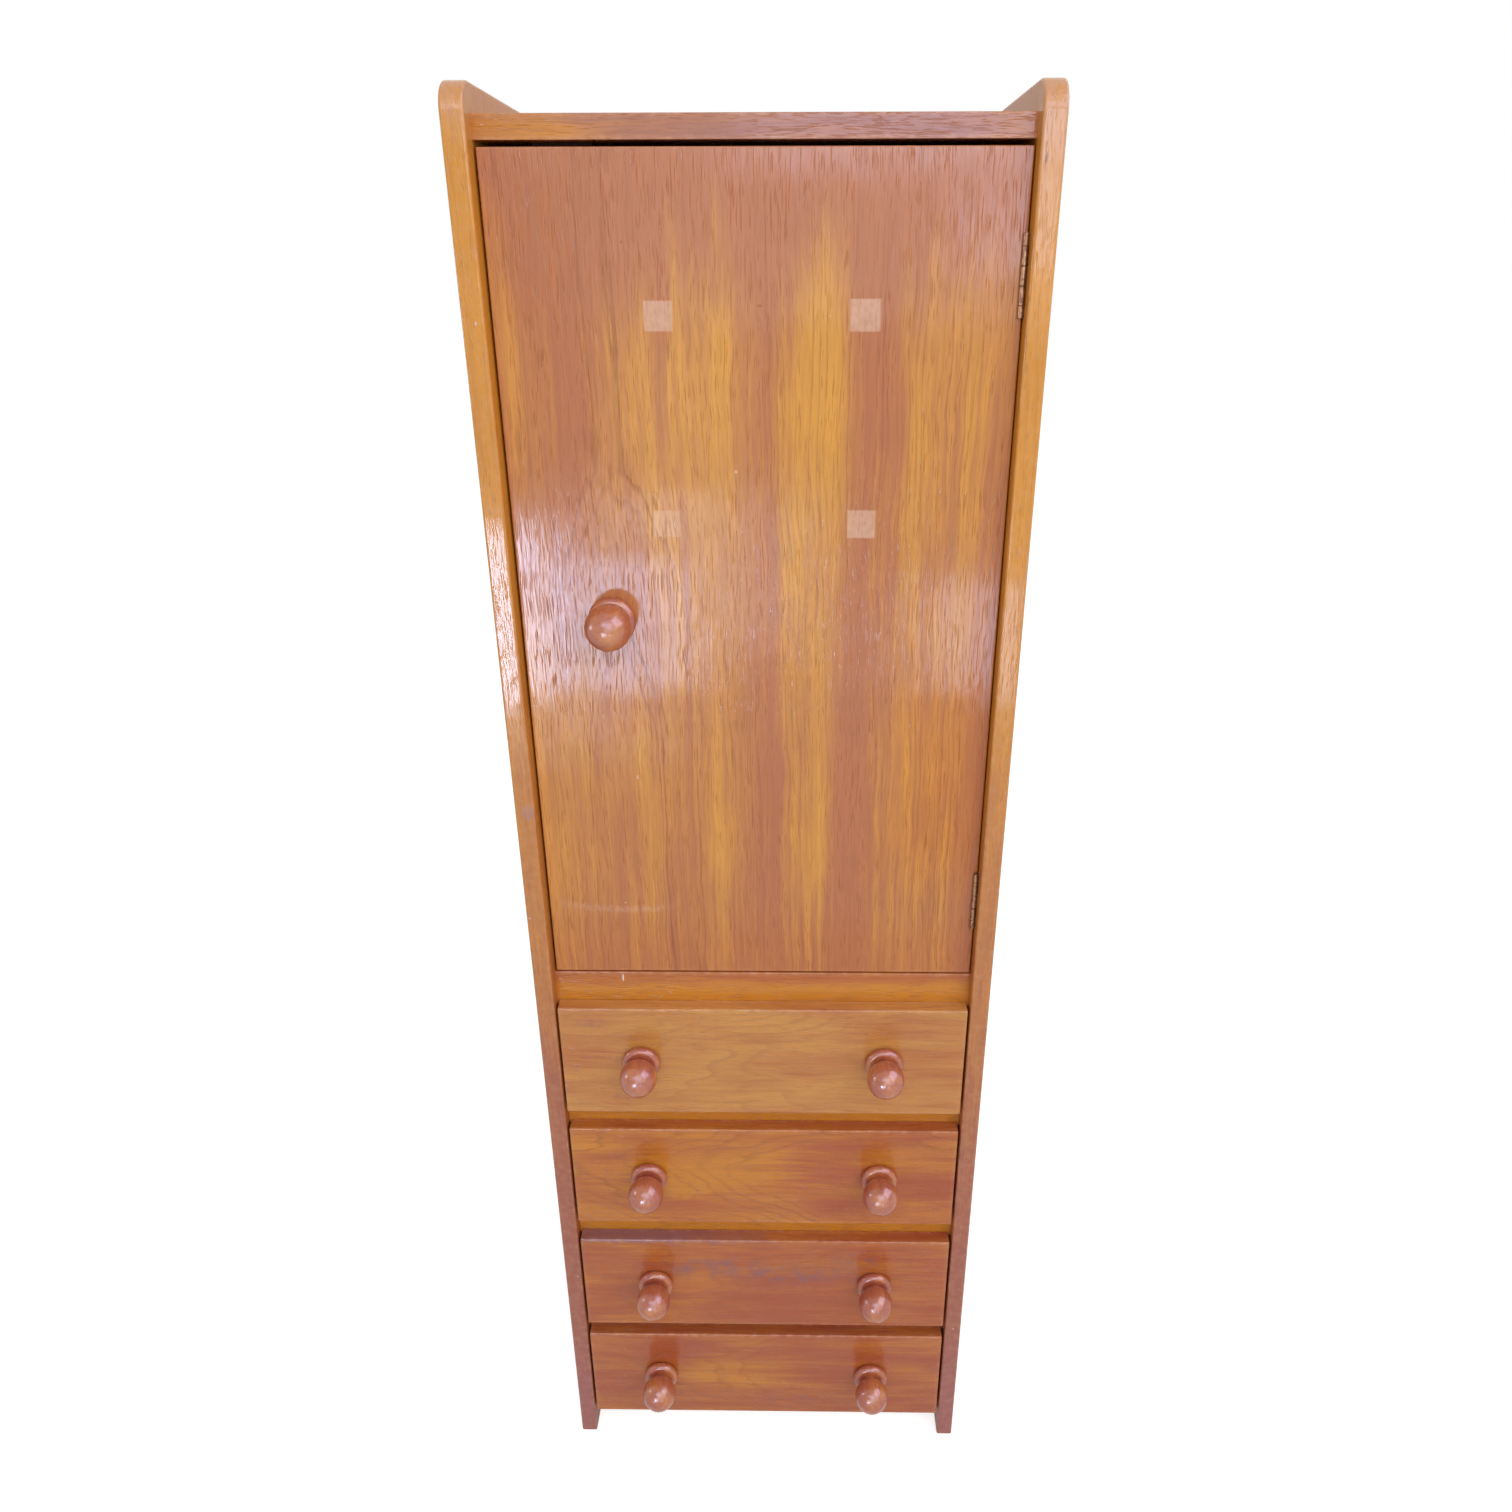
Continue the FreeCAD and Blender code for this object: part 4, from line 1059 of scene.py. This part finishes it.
def leaf_sheets(axis, plate_x, base, top, rear, own):
    """Sheets of a hinge leaf: the plate, its knuckles as tubes, and a web to each."""
    size = sizes()
    radius, wall = size.knuckle, size.leaf
    hole, ease, faces_round = 0.00147, 0.0004, 28  # of a knuckle
    play, gap = 0.0002, 0.0003  # between knuckles, and between them and the plate
    web_ease, plate_ease, plate_cell, plate_steps = 0.0002, 0.00025, 0.02, 2
    clear = axis[1] + radius + gap
    sheets = eased_block((plate_x[0], clear, base), (plate_x[1], rear, top), plate_ease,
                         plate_ease, 4 * plate_ease, plate_cell, plate_steps)
    for low, high in own:
        low, high = low + play, high - play
        profile = [(hole, low), (radius - ease, low), (radius, low + ease), (radius, high - ease),
                   (radius - ease, high), (hole, high), (hole, low)]
        sheets.append(turned(profile, axis, faces_round, upright=True))
        web_left = min(axis[0] + radius * 0.55, plate_x[0])
        sheets += eased_block((web_left, axis[1] + radius * 0.5, low),
                              (plate_x[1], clear + wall, high), web_ease, web_ease,
                              2.5 * web_ease, plate_cell, plate_steps)
    return sheets


class CHIFFOROBE_OT_hinges(bpy.types.Operator):
    """Builds the leaves and knuckles of the two butt hinges, and finishes their pins and screws"""

    bl_idname = "chifforobe.hinges"
    bl_label = "Hinges"

    def execute(self, context):
        finish = brass()
        joint = next(j for j in frame["joints"] if j["name"] == "door_hinge")
        axis = joint["pos_m"][:2]
        wall, proud = sizes().leaf, 0.00008
        door_right = span("door")[1][0] + proud
        for place in ("upper", "lower"):
            for body, leaf, own in (("case", "frame", slice(0, None, 2)),
                                    ("door", "door", slice(1, None, 2))):
                node = "hinge_%s_%s_leaf" % (place, leaf)
                low, high = span(node)
                if leaf == "frame":
                    rows = knuckles(low[2], high[2])
                right = high[0] if leaf == "frame" else door_right
                sheets = leaf_sheets(axis, (right - wall, right), low[2], high[2], high[1],
                                     rows[own])
                piece(node + "_surface", sheets, finish, body, (node,))
        dress(finish, "hinge_pins", "frame_hinge_screws", "door_hinge_screws")
        return {"FINISHED"}


class CHIFFOROBE_OT_fittings(bpy.types.Operator):
    """Finishes the clothes rail, its sockets, the catch, its plate, and the screws and nails"""

    bl_idname = "chifforobe.fittings"
    bl_label = "Fittings"

    def execute(self, context):
        dress(steel("bright_steel", 0.1, 0.08), "clothes_rail", "rail_socket_left",
              "rail_socket_right")
        dress(steel("plain_steel", 0.28, 0.2), "case_screws", "door_knob_screw", "strike_plate",
              "strike_plate_screws", *("drawer_%d_knob_screws" % n for n in range(1, 5)))
        dress(steel("nail_steel", 0.42, 0.2, 0.45), "back_panel_nails")
        dress(catch_plastic(), "door_catch")
        return {"FINISHED"}


# ---- The studio --------------------------------------------------------------------------------
def panel_light(name, place, target, wide, high, level_seen, tint, lights=True):
    """A soft rectangular panel. Its power is pi times its area times the level it is seen at. One
    that does not light the room is only seen reflected in the lacquer."""
    data = bpy.data.lights.new(name, "AREA")
    data.shape = "RECTANGLE"
    data.size, data.size_y = wide, high
    data.energy = math.pi * wide * high * level_seen
    data.color = tint
    light = bpy.data.objects.new(name, data)
    light.location = place
    light.rotation_mode = "QUATERNION"
    light.rotation_quaternion = (Vector(target) - Vector(place)).to_track_quat("-Z", "Y")
    light.visible_camera = False
    light.visible_diffuse = lights
    bpy.context.scene.collection.objects.link(light)


class CHIFFOROBE_OT_stage(bpy.types.Operator):
    """Sets up the pale floor, the soft lights and the camera"""

    bl_idname = "chifforobe.stage"
    bl_label = "Studio"

    def execute(self, context):
        scene = context.scene
        studio = scene.chifforobe.studio
        scene.view_settings.view_transform = "Standard"

        finish = Finish("studio_floor")
        grit = finish.noise(finish.place(), (9.0, 9.0, 9.0), 3.0)
        across, ahead, _ = finish.parts(finish.place())
        rays = finish.rays()
        mirrored = finish.fade(finish.diagonal(across, ahead), 0.3, 4.0, 0.34, 0.78)
        glow = finish.math("MAXIMUM", finish.times(rays["Is Camera Ray"], 0.7),
                           finish.times(rays["Is Glossy Ray"], mirrored))
        shade = finish.lit(colours().floor, finish.swing(grit, 0.03))
        material = finish.surface(Base_Color=shade, Roughness=0.9, Specular_IOR_Level=0.0,
                                  Emission_Color=(1.0, 1.0, 1.0), Emission_Strength=glow)
        reach = 40.0  # from the middle of the floor to its edges
        mesh = bpy.data.meshes.new("studio_floor")
        mesh.from_pydata([(-reach, -reach, 0), (reach, -reach, 0), (reach, reach, 0),
                          (-reach, reach, 0)], [], [(0, 1, 2, 3)])
        mesh.materials.append(material)
        floor = bpy.data.objects.new("studio_floor", mesh)
        scene.collection.objects.link(floor)

        # White for the camera, gloss and glass, and the room light for everything else.
        room = Finish("studio_room", "worlds")
        rays = room.rays()
        seen = room.chain("MAXIMUM", *(rays["Is %s Ray" % kind]
                                       for kind in ("Camera", "Glossy", "Transmission")))
        strength = room.heap(studio.sky, (seen, 1.0 - studio.sky))
        room.node("OutputWorld", (room.node("Background", ((1.0, 1.0, 1.0), strength)),))
        scene.world = room.owner

        panel_light("key_panel", (1.1, -3.3, 3.0), (0.0, -0.2, 1.0), 5.2, 4.0, studio.key,
                    (0.97, 0.98, 1.0))
        panel_light("window_panel", (2.2, -0.75, 2.9), (0.0, -0.2, 0.9), 2.8, 2.4, studio.window,
                    (0.74, 0.68, 1.0), False)
        panel_light("left_panel", (-2.4, -0.5, 1.35), (-0.1, -0.2, 0.9), 0.5, 0.5, studio.left,
                    (0.9, 0.88, 1.0), False)
        panels_at = -2.38
        blue, violet, hazy = (0.54, 0.69, 1.0), (0.52, 0.64, 1.0), (0.84, 0.93, 1.0)
        seen = (
            ("side_pane", -0.3, -0.2385, 1.092, 1.284, studio.left_pane * 1.35,
             (0.6, 0.72, 1.0), 0.0),
            ("left_pane", -0.2385, -0.214, 1.112, 1.275, studio.left_pane, blue, 0.0),
            ("right_pane", -0.193, -0.076, 1.112, 1.246, studio.right_pane, blue, 0.0),
            ("low_right_panel", 0.185, 0.265, 1.108, 1.225, studio.low_right, blue, 0.008),
            ("high_wide_panel", -0.01, 0.3, 1.588, 1.66, studio.high, violet, 0.012),
            ("high_pane", -0.45, 0.45, 1.72, 1.99, studio.high * 1.2, violet, 0.0),
            ("high_edge_panel", 0.195, 0.3, 1.505, 1.5755, studio.high, violet, 0.01),
            ("middle_panel", -0.165, -0.05, 1.262, 1.31, studio.haze, hazy, 0.022),
            ("middle_right_panel", -0.042, 0.03, 1.17, 1.3, studio.haze * 0.7, hazy, 0.025),
            ("upper_left_panel", -0.12, -0.04, 1.34, 1.44, studio.haze * 0.13, hazy, 0.03),
            ("low_left_panel", -0.3, -0.11, 1.045, 1.104, studio.haze * 0.5, hazy, 0.018))
        # Each panel is given by the rectangle of the door in which the camera sees it mirrored, and
        # stands where that rectangle's mirror image is, far in front. A blurred one is two panels,
        # the second wider and weaker. The room's own white adds to what a panel shows.
        face = span("door")[0][1]
        for name, left, right, base, top, level_seen, tint, blur in seen:
            for step, (share_of, grow) in enumerate(((1.0, 0.0), (0.5, blur))[:2 if blur else 1]):
                far = panels_at - 0.02 * step
                spread = 1 + (face - far) / (face - studio.eye[1])
                x = (left + right) / 2 * spread - studio.eye[0] * (spread - 1)
                z = (base + top) / 2 * spread - studio.eye[2] * (spread - 1)
                glow = [1 + (level_seen * c - 1) * share_of for c in tint]
                panel_light("%s_%d" % (name, step), (x, far, z), (x, 0.0, z),
                            (right - left + 2 * grow) * spread, (top - base + 2 * grow) * spread,
                            max(glow), [c / max(glow) for c in glow], False)

        data = bpy.data.cameras.new("front_camera")
        data.sensor_width = 36.0
        data.lens = studio.lens
        data.shift_x, data.shift_y = studio.shift
        data.clip_start, data.clip_end = 0.05, 200.0
        camera = bpy.data.objects.new("front_camera", data)
        scene.collection.objects.link(camera)
        yaw, pitch = studio.yaw, studio.pitch
        ahead = Vector((math.sin(yaw) * math.cos(pitch), math.cos(yaw) * math.cos(pitch),
                        -math.sin(pitch)))
        right = Vector((math.cos(yaw), -math.sin(yaw), 0.0))
        up = right.cross(ahead)
        cosine, sine = math.cos(studio.roll), math.sin(studio.roll)
        right, up = cosine * right + sine * up, -sine * right + cosine * up
        turn = Matrix((right, up, -ahead)).transposed().to_4x4()
        camera.matrix_world = Matrix.Translation(studio.eye) @ turn
        scene.camera = camera
        return {"FINISHED"}


# ---- The panel, and the making -----------------------------------------------------------------
makers = (CHIFFOROBE_OT_sides, CHIFFOROBE_OT_boards, CHIFFOROBE_OT_door,
          CHIFFOROBE_OT_drawer_fronts, CHIFFOROBE_OT_drawer_boxes, CHIFFOROBE_OT_knobs,
          CHIFFOROBE_OT_hinges, CHIFFOROBE_OT_fittings, CHIFFOROBE_OT_stage)


class CHIFFOROBE_PT_panel(bpy.types.Panel):
    """Lists the makers and the settings"""

    bl_label = "Chifforobe"
    bl_space_type = "VIEW_3D"
    bl_region_type = "UI"
    bl_category = "Chifforobe"

    def draw(self, context):
        for maker in makers:
            self.layout.operator(maker.bl_idname)
        for group in (context.scene.chifforobe.sizes, context.scene.chifforobe.colours,
                      context.scene.chifforobe.studio):
            box = self.layout.box()
            for name in group.__annotations__:
                box.prop(group, name)


classes = (ChifforobeSizes, ChifforobeColours, ChifforobeStudio, ChifforobeSettings, *makers,
           CHIFFOROBE_PT_panel)


def register():
    """Registers the classes and the scene's settings."""
    for item in classes:
        bpy.utils.register_class(item)
    bpy.types.Scene.chifforobe = PointerProperty(type=ChifforobeSettings)


def unregister():
    """Takes the settings and the classes away again."""
    del bpy.types.Scene.chifforobe
    for item in reversed(classes):
        bpy.utils.unregister_class(item)


def main():
    """Makes every piece in order."""
    register()
    bpy.ops.chifforobe.sides()
    bpy.ops.chifforobe.boards()
    bpy.ops.chifforobe.door()
    bpy.ops.chifforobe.drawer_fronts()
    bpy.ops.chifforobe.drawer_boxes()
    bpy.ops.chifforobe.knobs()
    bpy.ops.chifforobe.hinges()
    bpy.ops.chifforobe.fittings()
    bpy.ops.chifforobe.stage()


if __name__ == "__main__":
    main()
